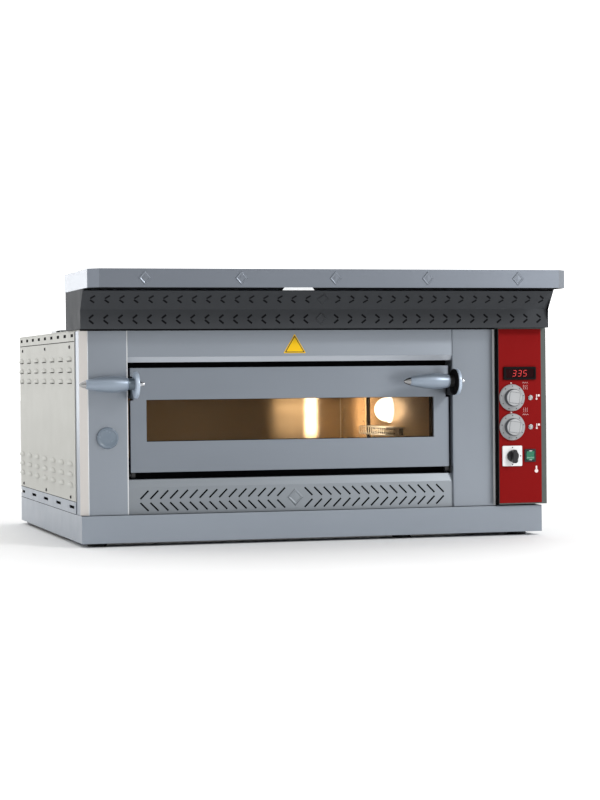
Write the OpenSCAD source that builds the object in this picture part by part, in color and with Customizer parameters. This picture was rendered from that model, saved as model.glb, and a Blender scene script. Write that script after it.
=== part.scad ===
// Electric deck oven with one baking chamber, a drop-down glazed door, a front vapour hood
// and a control column on the right. Every module is drawn from one datum, the lower front
// edge of the plinth in the middle of its width: +X right, +Y back, +Z up. place() then moves
// it to the part's own frame, whose origin is under the middle of the oven on the floor.

/* [Casing] */
// Width across the side panels
body_w = 1010; // [1006:1:1012]
// Depth from the plinth's front to the rear panel
body_d = 850; // [845:1:900]
// Height of the casing above the plinth's lower edge
body_h = 441; // [438:1:450]
// Height of the plinth
plinth_h = 57; // [50:1:57]
// Height of the feet
foot_h = 8; // [6:1:20]
// Thickness of the folded sheet
sheet = 2; // [1.6:0.2:2.4]

/* [Front] */
// Left edge of the opening between the posts
opening_x0 = -404; // [-406:0.5:-403]
// Right edge of the opening between the posts
opening_x1 = 307; // [306.5:0.5:309]
// How far the posts stand behind the plinth's front
post_y = 13; // [11:0.5:15]
// Width of the sloping corner of the left post
post_corner = 15; // [8:1:20]
// Right edge of the right post
post_x1 = 403; // [398:0.5:403]

/* [Door] */
// Width of the door
door_w = 699; // [695:0.5:700]
// Height of the door
door_h = 218; // [210:1:219]
// Bottom edge of the door
door_z = 143.5; // [143:0.5:145]
// Front face of the door behind the plinth's front
door_y = 27; // [26:0.5:28]
// Thickness of the door from skin to inner face
door_t = 34; // [32:0.5:34]
// Width of the window
window_w = 630; // [560:1:632]
// Height of the window
window_h = 86.5; // [70:0.5:90]
// Bottom edge of the window
window_z = 208; // [204:0.5:212]
// Height of the hinge pins' axis
hinge_z = 138; // [137.5:0.5:138]
// Length of a handle from its disc to its tip
handle_len = 114.5; // [110:0.5:114.5]

/* [Chamber] */
// Width of the baking chamber
chamber_w = 700; // [690:1:700]
// Depth of the baking chamber
chamber_d = 734; // [700:1:734]
// Height from the stone to the ceiling
chamber_h = 152; // [140:1:152]
// Height of the stone's top face
deck_z = 172; // [171:0.5:173]

/* [Hood] */
// Half the width of the hood
hood_hw = 510; // [505:0.5:510]
// Front face of the hood's lower facet
hood_y = -34; // [-38:0.5:-30]
// Forward flare of the hood's upper facet
hood_flare = 33; // [20:1:40]
// Height of the hood up to the cap
hood_h = 81; // [78:1:84]
// Front face of the cap
cap_y = -145; // [-150:1:-140]
// Height of the cap
cap_h = 38; // [34:1:44]
// Rear edge of the hood and cap
hood_back = 145; // [145:1:149]

/* [Controls] */
// Right edge of the control housing
panel_x1 = 513.5; // [512.5:0.5:514]
// Front face of the control housing
panel_y = -8; // [-12:0.5:-6]
// Radius of a heat knob's skirt
knob_r = 29; // [24:0.5:30]

/* [Hidden] */
$fn = 48;

steel = [0.60, 0.63, 0.67];
grey_paint = [0.55, 0.59, 0.64];
cream = [0.82, 0.82, 0.79];
dark = [0.20, 0.21, 0.22];
white = [0.93, 0.93, 0.93];
wool = [0.85, 0.78, 0.55];

half_w = body_w / 2;
cover_z = body_h - sheet;            // underside of the top cover
gland_len = 20;                      // how far the cable gland stands out at the back
far_y = body_d + gland_len;
boss = 1;                            // how far the pressed lozenges stand out
mid_y = (cap_y - boss + far_y) / 2;  // middle of the whole object, front to back
side_y0 = 72;                        // where the side panels start
rail_h = 26;                         // height of the slotted lower rail
top_rail_h = 21;                     // height of the pierced upper rail
side_z0 = plinth_h + rail_h;
side_z1 = cover_z - top_rail_h;

mouth_y = door_y + door_t + 1;       // front of the mouth frame
mouth_t = 4;
fascia_y = 19;                       // face of the lower fascia
upper_y = 16;                        // face of the upper fascia
gap_top = 373;                       // underside of the upper fascia
gap_bottom = 129;                    // top edge of the lower fascia
pattern_x = -46;                     // middle of the slotted pattern

chamber_y0 = mouth_y + mouth_t;
chamber_y1 = chamber_y0 + chamber_d;
chamber_x1 = 292;
chamber_x0 = chamber_x1 - chamber_w;
ceiling_z = deck_z + chamber_h;
stone_t = 22;
floor_z = deck_z - stone_t - 10;     // top of the chamber's floor plate

door_x0 = opening_x0 + 7.4;
door_x1 = door_x0 + door_w;
door_cx = (door_x0 + door_x1) / 2;
glass_t = 4;
arm_t = 8;
arm_in = 5.6;                        // how far the arms reach in from the door's edge
arm_y = -30;                         // handle axis
arm_z = 328;
notch_z0 = 294;
notch_z1 = 343;
pin_r = 4;
pin_y = door_y + 6;
pin_clear = 0.05;

steam_x = -448;
steam_z = 217;
steam_rod_r = 4;
port_y0 = 102;
port_y1 = 134;
port_z0 = 202;
port_z1 = 232;

lamp_y = 410;
lamp_z = 262;
lamp_r = 28;

panel_x0 = post_x1 + 0.5;
plate_t = 1.5;
plate_y = panel_y - plate_t;         // face of the red plate
knob_x = 433.5;
top_knob_z = 290.5;
low_knob_z = 227.3;
shaft_r = 3;
switch_x = 433;
switch_z = 164.6;
rocker_x = 474.7;
rocker_z = 165;
gland_x = 440;
gland_z = 95;

module place() { translate([0, -mid_y, foot_h]) children(); }

// A block between two corners
module block(lo, hi) { translate(lo) cube(hi - lo); }

// A sheet that faces front, drawn in X and Z, from y0 back to y0 + t
module facing(y0, t) {
    translate([0, y0 + t, 0]) rotate([90, 0, 0]) linear_extrude(t) children();
}

// A sheet or profile that faces sideways, drawn in Y and Z, from x0 to x0 + t
module sideways(x0, t) {
    translate([x0, 0, 0]) rotate([90, 0, 90]) linear_extrude(t) children();
}

// A rectangle between two corners
module area(lo, hi) { translate(lo) square(hi - lo); }

// A round bar along X or Y
module bar_x(x0, x1, r) { translate([x0, 0, 0]) rotate([0, 90, 0]) cylinder(h = x1 - x0, r = r); }
module bar_y(y0, y1, r) { translate([0, y1, 0]) rotate([90, 0, 0]) cylinder(h = y1 - y0, r = r); }

// A lozenge pressed out of a sheet, drawn in X and Z
module lozenge(half_width, half_height) {
    polygon([[-half_width, 0], [0, -half_height], [half_width, 0], [0, half_height]]);
}

// ---- casing ------------------------------------------------------------------------------

module plinth() {
    flange = 60;
    color(grey_paint) difference() {
        block([-half_w, 0, 0], [half_w, body_d, plinth_h]);
        block([-half_w + sheet, sheet, sheet], [half_w - sheet, body_d - sheet, plinth_h + 1]);
        block([-half_w + flange, flange, -1], [half_w - flange, body_d - flange, sheet + 1]);
    }
}

module feet() {
    color(dark) for (x = [-465, 200, 465], y = [50, body_d - 30])
        translate([x, y, -foot_h]) cylinder(h = foot_h, r = 20);
}

module base_pan() {
    color(dark) block([-half_w + 4, 250, -3], [half_w - 4, body_d - 60, 0]);
}

// Seven louvre slots in a row, three rows at the top and three at the bottom
module louvre_slots(y0, pitch) {
    for (z = [331, 354.5, 378, 115, 137, 159], i = [0:6])
        translate([y0 + i * pitch, z]) square([56, 2.5], center = true);
}

module side_panel(x0) {
    color(cream) sideways(x0, sheet) difference() {
        area([side_y0, side_z0], [body_d, side_z1]);
        louvre_slots(135, (body_d - 30 - 135) / 6);
    }
}

module rear_panel() {
    color(cream) facing(body_d - sheet, sheet) difference() {
        area([-half_w + sheet, plinth_h], [half_w - sheet, cover_z]);
        for (x = [-330:110:330], z = [115, 137, 378]) translate([x, z]) square([56, 2.5], center = true);
        translate([gland_x, gland_z]) circle(r = 10);
    }
}

module panel_screws() {
    color(dark) {
        for (s = [-1, 1], y = [130, 460, 800], z = [91, 407])
            translate([s * half_w, y, z]) rotate([0, s * 90, 0]) cylinder(h = 2.5, r = 4);
        for (x = [-480, 0, 480], z = [91, 407])
            translate([x, body_d + 2.5, z]) rotate([90, 0, 0]) cylinder(h = 2.5, r = 4);
    }
}

module top_rail(x0) {
    color(cream) sideways(x0, sheet) difference() {
        area([side_y0, side_z1], [body_d, cover_z]);
        for (i = [0:8]) translate([100 + i * (body_d - 130) / 8, 430.5])
            square([30, 6], center = true);
    }
}

module bottom_rail(x0) {
    color(grey_paint) sideways(x0, sheet) difference() {
        area([side_y0, plinth_h], [body_d, side_z0]);
        for (i = [0:4]) translate([122 + i * (body_d - 152) / 4, 70.5]) square([62, 6], center = true);
    }
}

module top_cover() {
    color(cream) difference() {
        union() {
            block([-half_w, post_y, cover_z], [half_w, body_d, body_h]);
            block([-half_w + 3, 262, body_h - 1], [-120, 384, body_h + 5]);
        }
        block([duct_x0 + sheet, chamber_y0 + sheet, cover_z - 1],
            [duct_x1 - sheet, duct_y1 - sheet, body_h + 1]);
    }
}

// ---- front -------------------------------------------------------------------------------

module left_post() {
    x0 = -half_w + sheet;
    c = post_corner;
    k = sheet * 0.414;               // a mitre at 45 degrees
    color(steel) difference() {
        translate([0, 0, plinth_h]) linear_extrude(cover_z - plinth_h) polygon([
            [opening_x0, post_y], [opening_x0, mouth_y], [opening_x0 - sheet, mouth_y],
            [opening_x0 - sheet, post_y + sheet], [x0 + c + k, post_y + sheet],
            [x0 + sheet, post_y + c + k], [x0 + sheet, side_y0], [x0, side_y0],
            [x0, post_y + c], [x0 + c, post_y]]);
        translate([steam_x, 0, steam_z]) bar_y(post_y - 5, post_y + 10, steam_rod_r + 1);
    }
}

module right_post() {
    color(steel) translate([0, 0, plinth_h]) linear_extrude(cover_z - plinth_h) polygon([
        [opening_x1, mouth_y], [opening_x1, post_y], [post_x1, post_y], [post_x1, 40],
        [post_x1 - sheet, 40], [post_x1 - sheet, post_y + sheet],
        [opening_x1 + sheet, post_y + sheet], [opening_x1 + sheet, mouth_y]]);
}

module upper_fascia() {
    y = upper_y;
    color(steel) sideways(opening_x0, opening_x1 - opening_x0) polygon([
        [y, 384], [y + 8, gap_top], [mouth_y, gap_top], [mouth_y, gap_top + sheet],
        [y + 9, gap_top + sheet], [y + sheet, 384.7], [y + sheet, cover_z], [y, cover_z]]);
}

// A pair of slots, one leaning each way; side is -1 to the left of the pattern's middle
module herringbone(side) {
    for (up = [-1, 1])
        translate([0, up * 12.5]) rotate(-side * up * 45) square([24, 3], center = true);
}

module lower_fascia() {
    flat_z1 = 113;
    y = fascia_y;
    color(steel) union() {
        facing(y, sheet) difference() {
            area([opening_x0, plinth_h], [opening_x1, flat_z1]);
            for (side = [-1, 1], i = [0:14])
                translate([pattern_x + side * (30 + 21 * i), 85]) herringbone(side);
        }
        facing(y - boss, boss) translate([pattern_x + 1, 86]) lozenge(17, 18);
        sideways(opening_x0, opening_x1 - opening_x0) polygon([
            [y, flat_z1], [y + 8, gap_bottom], [mouth_y, gap_bottom],
            [mouth_y, gap_bottom - sheet], [y + 9.2, gap_bottom - sheet], [y + sheet, flat_z1]]);
    }
}

module mouth_frame() {
    color(steel) facing(mouth_y, mouth_t) difference() {
        area([chamber_x0 - 2, gap_bottom - 6], [opening_x1 + 5, gap_top + 6]);
        area([chamber_x0 + 12, deck_z - 3], [chamber_x1 - 2, ceiling_z + 4]);
    }
}

module triangle_plate() {
    side = 49;
    color([0.95, 0.8, 0.1]) facing(upper_y - 1, 1) translate([-44.3, 390])
        polygon([[-side / 2, 0], [side / 2, 0], [0, side * 0.83]]);
}

// ---- baking chamber ----------------------------------------------------------------------

module chamber_left_wall() {
    color(steel) sideways(chamber_x0 - sheet, sheet) difference() {
        area([chamber_y0, floor_z], [chamber_y1, ceiling_z]);
        area([port_y0, port_z0], [port_y1, port_z1]);
    }
}

module chamber_right_wall() {
    color(steel) sideways(chamber_x1, sheet) difference() {
        area([chamber_y0, floor_z], [chamber_y1, ceiling_z]);
        translate([lamp_y, lamp_z]) circle(r = 20);
    }
}

module chamber_rear_wall() {
    color(steel) block([chamber_x0 - sheet, chamber_y1, floor_z],
        [chamber_x1 + sheet, chamber_y1 + sheet, ceiling_z]);
}

module chamber_ceiling() {
    color(steel) block([chamber_x0 - sheet, chamber_y0, ceiling_z],
        [chamber_x1 + sheet, chamber_y1 + sheet, ceiling_z + sheet]);
}

module chamber_floor() {
    rail = 8;
    color(steel) union() {
        block([chamber_x0, chamber_y0, floor_z - sheet], [chamber_x1, chamber_y1, floor_z]);
        for (x = [chamber_x0, chamber_x1 - rail])
            block([x, chamber_y0, floor_z], [x + rail, chamber_y1, deck_z - stone_t]);
    }
}

module stone_deck() {
    color([0.78, 0.70, 0.58]) block([chamber_x0 + 1, chamber_y0 + 1, deck_z - stone_t],
        [chamber_x1 - 1, chamber_y1 - 1, deck_z]);
}

// Two straight rods joined by a half ring at the left end
module hairpin(y, z, x0, x1) {
    gap = 60;
    r = 4;
    for (s = [-1, 1]) translate([0, y + s * gap / 2, z]) bar_x(x0 + gap / 2, x1, r);
    translate([x0 + gap / 2, y, z]) rotate([0, 0, 90])
        rotate_extrude(angle = 180) translate([gap / 2, 0]) circle(r = r);
}

module elements(z, x0, x1) {
    color([0.35, 0.33, 0.32]) for (i = [0:4]) hairpin(chamber_y0 + 75 + i * 145, z, x0, x1);
}

module top_elements() { elements(ceiling_z - 10, chamber_x0 + 10, chamber_x1); }

module bottom_elements() { elements(deck_z - stone_t - 5, chamber_x0 + 14, chamber_x1 - 8); }

module insulation() {
    x0 = chamber_x0 - sheet;
    x1 = chamber_x1 + sheet;
    y1 = chamber_y1 + sheet;
    top = cover_z - 2;
    bottom = plinth_h + 4;
    color(wool) {
        block([-half_w + 6, hood_back + 10, bottom], [x0, y1, top]);
        difference() {
            block([x1, chamber_y0, bottom], [x1 + 58, y1, top]);
            translate([0, lamp_y, lamp_z]) bar_x(x1 - 1, x1 + 60, 32);
        }
        block([-half_w + 6, y1, bottom], [x1 + 58, body_d - 6, top]);
        block([x0, chamber_y0, ceiling_z + sheet], [x1, y1, top]);
        block([x0, chamber_y0, bottom], [x1, y1, floor_z - sheet]);
    }
}

module lamp_socket() {
    color(white) translate([0, lamp_y, lamp_z]) {
        bar_x(chamber_x1 + sheet, chamber_x1 + sheet + 5, 30);
        bar_x(chamber_x1 + sheet + 5, chamber_x1 + 48, 19);
    }
}

// A thick glass dome with a flange that lies on the wall
module lamp_glass() {
    depth = 37;
    color([1, 0.95, 0.8, 0.5]) translate([chamber_x1, lamp_y, lamp_z]) rotate([0, -90, 0])
        rotate_extrude() difference() {
            union() {
                square([lamp_r + 3, 4]);
                intersection() {
                    translate([0, depth - lamp_r]) circle(r = lamp_r);
                    square([lamp_r, depth]);
                }
            }
            translate([0, -1]) intersection() {
                translate([0, depth - lamp_r]) circle(r = lamp_r - 4);
                square([lamp_r, depth]);
            }
            translate([-2 * lamp_r, -depth]) square([2 * lamp_r, 3 * depth]);
        }
}

guard_y0 = 292;
guard_y1 = 560;
guard_slant = 48;                    // how far the guard's near end slopes back to the wall

// A slotted strip in front of the probe, held to the wall by an upper and a lower shelf
module probe_guard() {
    x0 = 262;
    z0 = 203;
    z1 = 222;
    color(steel) union() {
        sideways(x0, sheet) difference() {
            area([guard_y0, z0], [guard_y1, z1]);
            for (i = [0:17])
                translate([guard_y0 + 11 + i * 14.5, (z0 + z1) / 2]) square([11.5, 14], center = true);
        }
        for (z = [z0, z1 - 1.5]) translate([0, 0, z]) linear_extrude(1.5) polygon([
            [x0 + 0.5, guard_y0], [chamber_x1, guard_y0 + guard_slant], [chamber_x1, guard_y1],
            [x0 + 0.5, guard_y1]]);
    }
}

module thermo_probe() {
    color([0.7, 0.68, 0.62]) translate([278, 0, 212.5]) bar_y(guard_y0 + 45, guard_y1 - 60, 3);
}

// ---- steam outlet ------------------------------------------------------------------------

duct_x0 = chamber_x0 - 62;
duct_x1 = chamber_x0 - sheet;
duct_y1 = hood_back - 3;

module steam_duct() {
    color(steel) difference() {
        block([duct_x0, chamber_y0, 186], [duct_x1, duct_y1, cover_z]);
        block([duct_x0 + sheet, chamber_y0 + sheet, 186 + sheet],
            [duct_x1 - sheet, duct_y1 - sheet, cover_z + 1]);
        block([duct_x1 - 2 * sheet, port_y0, port_z0], [duct_x1 + 1, port_y1, port_z1]);
        translate([steam_x, 0, steam_z])
            bar_y(chamber_y0 - 1, chamber_y0 + sheet + 1, steam_rod_r + pin_clear);
    }
}

module steam_knob() {
    face = 8;
    color(grey_paint) translate([steam_x, 0, steam_z]) union() {
        translate([0, post_y - 0.5, 0]) rotate([90, 0, 0]) rotate_extrude() polygon([
            [0, 0], [22.5, 0], [22.5, face - 3], [21, face - 0.8], [19.5, face],
            [18, face - 1.2], [0, face - 1.2]]);
        bar_y(post_y - 1, 128, steam_rod_r);
    }
}

module steam_shutter() {
    x1 = duct_x1 - sheet - 0.7;
    color(steel) difference() {
        union() {
            sideways(x1 - sheet, sheet) area([port_y0 - 6, port_z0 - 6], [port_y1 + 6, port_z1 + 6]);
            block([steam_x - 8, 118, steam_z - 8], [x1 - sheet, 126, steam_z + 8]);
        }
        translate([steam_x, 0, steam_z]) bar_y(110, 140, steam_rod_r);
    }
}

// ---- hood and cap ------------------------------------------------------------------------

hood_top = body_h + hood_h;
fold_z = body_h + 40;
cap_gap = 3.5;                       // dark gap between the hood's front and the cap

// A chevron of two slots that points to the given side
module chevron(side) {
    for (up = [-1, 1])
        translate([0, up * 5.4]) rotate(-side * up * 38) square([11, 3], center = true);
}

// Sixteen chevrons on each side of the middle, along a facet of the given height
module facet_slots(height) {
    for (side = [-1, 1], i = [0:15])
        translate([side * (33 + 30.3 * i), height / 2]) chevron(side);
}

module hood_shell() {
    rise = hood_top - fold_z;
    slope = atan2(hood_flare, rise);
    y_in = hood_y + sheet;
    front_top = hood_top - cap_gap;
    y_top = hood_y - (front_top - fold_z) * hood_flare / rise;
    color(dark) union() {
        difference() {
            sideways(-hood_hw + sheet, 2 * (hood_hw - sheet)) polygon([
                [hood_y, body_h], [y_in, body_h], [y_in, fold_z + sheet * tan(slope / 2)],
                [y_top + sheet / cos(slope), front_top], [y_top, front_top], [hood_y, fold_z]]);
            facing(hood_y - 1, sheet + 2) translate([0, body_h]) facet_slots(fold_z - body_h);
            translate([0, hood_y, fold_z]) rotate([slope, 0, 0]) facing(-1, sheet + 2)
                facet_slots(norm([hood_flare, rise]));
        }
        facing(hood_y - boss, boss) translate([0, (body_h + fold_z) / 2]) lozenge(12.5, 12.5);
        translate([0, hood_y, fold_z]) rotate([slope, 0, 0]) facing(-boss, boss)
            translate([0, norm([hood_flare, rise]) / 2]) lozenge(12.5, 12.5);
        for (x = [-hood_hw, hood_hw - sheet]) sideways(x, sheet) polygon([
            [hood_y, body_h], [hood_back, body_h], [hood_back, hood_top],
            [hood_y - hood_flare, hood_top], [hood_y, fold_z]]);
    }
}

module hood_back_panel() {
    color(dark) facing(hood_back - sheet, sheet) difference() {
        area([-hood_hw + sheet, body_h], [hood_hw - sheet, hood_top]);
        area([-100, body_h + 6], [100, hood_top - 6]);
    }
}

module flue_box() {
    y1 = hood_back + 220;
    zc = hood_top - 1;
    r = 60;
    color(steel) difference() {
        union() {
            block([-110, hood_back, body_h], [110, y1, zc]);
            translate([0, hood_back + 110, zc]) cylinder(h = cap_h, r = r);
        }
        block([-110 + sheet, hood_back - 1, body_h + sheet], [110 - sheet, y1 - sheet, zc - sheet]);
        translate([0, hood_back + 110, zc - sheet - 1]) cylinder(h = cap_h + 5, r = r - sheet);
    }
}

module cap_outline(inset) {
    w = hood_hw + 1 - inset;
    c = 21 - inset * 0.586;
    polygon([[-w, hood_back - inset], [-w, cap_y + inset + c], [-w + c, cap_y + inset],
        [w - c, cap_y + inset], [w, cap_y + inset + c], [w, hood_back - inset]]);
}

module cap() {
    color([0.55, 0.58, 0.62]) translate([0, 0, hood_top]) difference() {
        union() {
            linear_extrude(cap_h) cap_outline(0);
            for (i = [-2:2]) facing(cap_y - boss, boss + sheet / 2)
                translate([i * 199, cap_h / 2]) lozenge(12.5, 14);
        }
        translate([0, 0, sheet]) linear_extrude(cap_h - 2 * sheet) cap_outline(sheet);
        block([-hood_hw + 15, hood_y - hood_flare + 8, -1], [hood_hw - 15, hood_back - 15, sheet + 1]);
    }
}

// ---- controls ----------------------------------------------------------------------------

module shaft_hole(x, z, r) { translate([x, 0, z]) bar_y(-60, 20, r); }

module control_housing() {
    z0 = 60;
    color([0.40, 0.42, 0.41]) difference() {
        block([panel_x0, panel_y, z0], [panel_x1, side_y0, cover_z]);
        block([panel_x0 + sheet, panel_y + sheet, z0 + sheet],
            [panel_x1 - sheet, side_y0 + 1, cover_z - sheet]);
        for (z = [top_knob_z, low_knob_z]) shaft_hole(knob_x, z, 6);
        shaft_hole(switch_x, switch_z, 6);
        block([rocker_x - 10.5, -60, rocker_z - 11.5], [rocker_x + 10.5, 10, rocker_z + 11.5]);
    }
}

module control_plate() {
    color([0.55, 0.09, 0.10]) difference() {
        block([panel_x0 + 1, plate_y, 63], [panel_x1 - 12, panel_y, cover_z - 0.5]);
        for (z = [top_knob_z, low_knob_z]) shaft_hole(knob_x, z, 4);
        shaft_hole(switch_x, switch_z, 4);
        block([rocker_x - 10.5, -60, rocker_z - 11.5], [rocker_x + 10.5, 10, rocker_z + 11.5]);
    }
}

module display() {
    color([0.08, 0.06, 0.06]) block([414.5, plate_y - 5, 329], [488.5, plate_y, 357]);
}

module indicator_lamps() {
    color([0.7, 0.7, 0.68]) for (z = [top_knob_z, low_knob_z])
        translate([476.7, plate_y, z - 0.3]) rotate([90, 0, 0]) cylinder(h = 3, r = 5.5);
}

module switch_plate() {
    color(white) difference() {
        block([switch_x - 22.5, plate_y - 4, switch_z - 22], [switch_x + 22.5, plate_y, switch_z + 22]);
        shaft_hole(switch_x, switch_z, shaft_r + pin_clear);
    }
}

module rocker_frame() {
    color(dark) difference() {
        block([rocker_x - 13, plate_y - 2.5, rocker_z - 14], [rocker_x + 13, plate_y, rocker_z + 14]);
        block([rocker_x - 9.5, -60, rocker_z - 10.5], [rocker_x + 9.5, 10, rocker_z + 10.5]);
    }
}

// Thermostat bodies that hold the knob shafts, behind the housing's front
module heat_controls() {
    color(dark) for (z = [top_knob_z, low_knob_z]) difference() {
        block([knob_x - 18, panel_y + sheet, z - 18], [knob_x + 18, 24, z + 18]);
        shaft_hole(knob_x, z, shaft_r + pin_clear);
    }
}

module heat_knob(z) {
    color([0.66, 0.67, 0.68]) translate([knob_x, plate_y - 0.4, z]) rotate([90, 0, 0]) union() {
        cylinder(h = 4, r = knob_r);
        cylinder(h = 6.5, r = knob_r - 5);
        cylinder(h = 18.5, r = 18.5);
        translate([0, 0, -24]) cylinder(h = 24, r = shaft_r);
    }
}

module main_switch_lever() {
    color(dark) translate([switch_x, plate_y - 4.4, switch_z]) rotate([90, 0, 0]) union() {
        cylinder(h = 6, r = 13);
        translate([-5, -16, 6]) cube([10, 32, 16]);
        translate([0, 0, -20]) cylinder(h = 20, r = shaft_r);
    }
}

// A rocker on a pair of short trunnions
module light_rocker() {
    color([0.05, 0.45, 0.32]) union() {
        block([rocker_x - 9, plate_y - 4, rocker_z - 9.2], [rocker_x + 9, plate_y + 10, rocker_z + 9.2]);
        translate([0, plate_y + 5.5, rocker_z]) bar_x(rocker_x - 9.4, rocker_x + 9.4, 2);
    }
}

module terminal_block() {
    color(white) block([385, body_d - 90, 75], [445, body_d - 30, 105]);
}

module contactor() {
    color(dark) block([395, 600, 75], [440, 680, 160]);
}

module cable_gland() {
    color(dark) translate([gland_x, 0, gland_z]) difference() {
        union() {
            bar_y(body_d, far_y, 14);
            bar_y(body_d - 12, body_d, 10);
        }
        bar_y(body_d - 20, far_y + 1, 7.5);
    }
}

// ---- door --------------------------------------------------------------------------------

module notches() {
    area([door_x0 - 5, notch_z0], [door_x0 + arm_in + 1, notch_z1]);
    area([door_x1 - arm_in - 1, notch_z0], [door_x1 + 5, notch_z1]);
}

module window_area(grow) {
    area([door_cx - window_w / 2 - grow, window_z - grow],
        [door_cx + window_w / 2 + grow, window_z + window_h + grow]);
}

module door_skin() {
    fold = 18;
    z1 = door_z + door_h;
    color(steel) union() {
        facing(door_y, sheet) difference() {
            area([door_x0, door_z], [door_x1, z1]);
            window_area(0);
            notches();
        }
        facing(door_y + sheet, fold - sheet) difference() {
            area([door_x0, door_z], [door_x1, z1]);
            area([door_x0 + sheet, door_z + sheet], [door_x1 - sheet, z1 - sheet]);
            notches();
        }
    }
}

module door_inner_frame() {
    y0 = door_y + sheet;
    y1 = door_y + door_t;
    color(steel) difference() {
        facing(y0, y1 - y0) difference() {
            area([door_x0 + arm_in, door_z + sheet + 0.5], [door_x1 - arm_in, door_z + door_h - sheet - 0.5]);
            window_area(0);
        }
        facing(y0 - 1, glass_t + 1) window_area(9.5);
        facing(y1 - glass_t, glass_t + 1) window_area(9.5);
    }
}

module door_glass() {
    color([0.5, 0.45, 0.35, 0.4]) {
        facing(door_y + sheet, glass_t) window_area(9);
        facing(door_y + door_t - glass_t, glass_t) window_area(9);
    }
}

// A round lug under the door's corner with its stub pin towards the post
module hinge_pin(lug_x, pin_x0, pin_x1) {
    translate([0, pin_y, hinge_z]) {
        bar_x(lug_x, lug_x + 8, 6);
        bar_x(pin_x0, pin_x1, pin_r);
        block([lug_x, -6, 0], [lug_x + 8, 6, door_z - hinge_z]);
    }
}

module hinge_pins() {
    color(steel) {
        hinge_pin(door_x0 + 1.6, opening_x0 + 0.5, door_x0 + 5);
        hinge_pin(door_x1 - 9.6, door_x1 - 5, opening_x1 - 0.5);
    }
}

module hinge_bearings() {
    color(dark) for (x = [opening_x0, opening_x1 - 3.6]) difference() {
        block([x, pin_y - 8, hinge_z - 8], [x + 3.6, pin_y + 8, hinge_z + 8]);
        translate([0, pin_y, hinge_z]) bar_x(x - 1, x + 5, pin_r + pin_clear);
    }
}

// A steel disc in front of the door with a bar back through the notch to the inner frame
module handle_arm(x0) {
    color(steel) union() {
        translate([0, arm_y, arm_z - 2]) bar_x(x0, x0 + arm_t, 28);
        block([x0, arm_y, notch_z0 + 4], [x0 + arm_t, door_y + door_t - 6, notch_z1 - 4]);
        translate([0, arm_y, arm_z]) bar_x(x0 + arm_t, x0 + arm_t + 14, 5);
    }
}

module handle_arms() {
    handle_arm(door_x0 + arm_in - arm_t);
    handle_arm(door_x1 - arm_in);
}

// Radius of the handle at a distance s from its disc: a neck, a swelling grip, a pointed tip
neck_len = 13;
belly = 46;
function grip_r(s) = s < belly
    ? 13.2 + 3.2 * sin(90 * (s - neck_len) / (belly - neck_len))
    : 1 + 15.4 * sqrt(max(0, 1 - pow((s - belly) / (handle_len - belly), 1.4)));

module handle(x0) {
    steps = 16;
    color(grey_paint) translate([x0, arm_y, arm_z]) rotate([0, -90, 0]) rotate_extrude()
        polygon(concat([[0, 0], [12.3, 0], [12.3, neck_len]],
            [for (i = [0:steps]) let (s = neck_len + (handle_len - neck_len) * i / steps) [grip_r(s), s]],
            [[0, handle_len]]));
}

module left_handle() { handle(door_x0 + arm_in - arm_t); }

module right_handle() { handle(door_x1 - arm_in); }

// ---- every node --------------------------------------------------------------------------

place() plinth();
place() feet();
place() base_pan();
place() side_panel(-half_w);  // left_side_panel
place() side_panel(half_w - sheet);  // right_side_panel
place() rear_panel();
place() panel_screws();
place() top_rail(-half_w);  // left_top_rail
place() top_rail(half_w - sheet);  // right_top_rail
place() bottom_rail(-half_w);  // left_bottom_rail
place() bottom_rail(half_w - sheet);  // right_bottom_rail
place() top_cover();
place() left_post();
place() right_post();
place() upper_fascia();
place() lower_fascia();
place() mouth_frame();
place() chamber_left_wall();
place() chamber_right_wall();
place() chamber_rear_wall();
place() chamber_ceiling();
place() chamber_floor();
place() stone_deck();
place() top_elements();
place() bottom_elements();
place() insulation();
place() lamp_socket();
place() lamp_glass();
place() probe_guard();
place() thermo_probe();
place() steam_duct();
place() hinge_bearings();
place() hood_shell();
place() hood_back_panel();
place() flue_box();
place() cap();
place() control_housing();
place() control_plate();
place() display();
place() indicator_lamps();
place() switch_plate();
place() rocker_frame();
place() heat_controls();
place() terminal_block();
place() contactor();
place() cable_gland();
place() triangle_plate();
place() door_skin();
place() door_inner_frame();
place() door_glass();
place() hinge_pins();
place() left_handle();
place() right_handle();
place() handle_arms();
place() heat_knob(top_knob_z);  // top_heat_knob
place() heat_knob(low_knob_z);  // bottom_heat_knob
place() main_switch_lever();
place() light_rocker();
place() steam_knob();
place() steam_shutter();
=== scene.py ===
"""Looks of a deck oven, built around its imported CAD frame.

Places are given from one datum, as in the part's source: the lower front edge of the plinth, in the
middle of its width, in millimetres, with X to the right, Y to the back and Z up.
"""

from math import cos, hypot, pi, radians, sin, sqrt, tan

import bmesh
import bpy
from mathutils import Matrix, Vector

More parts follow.
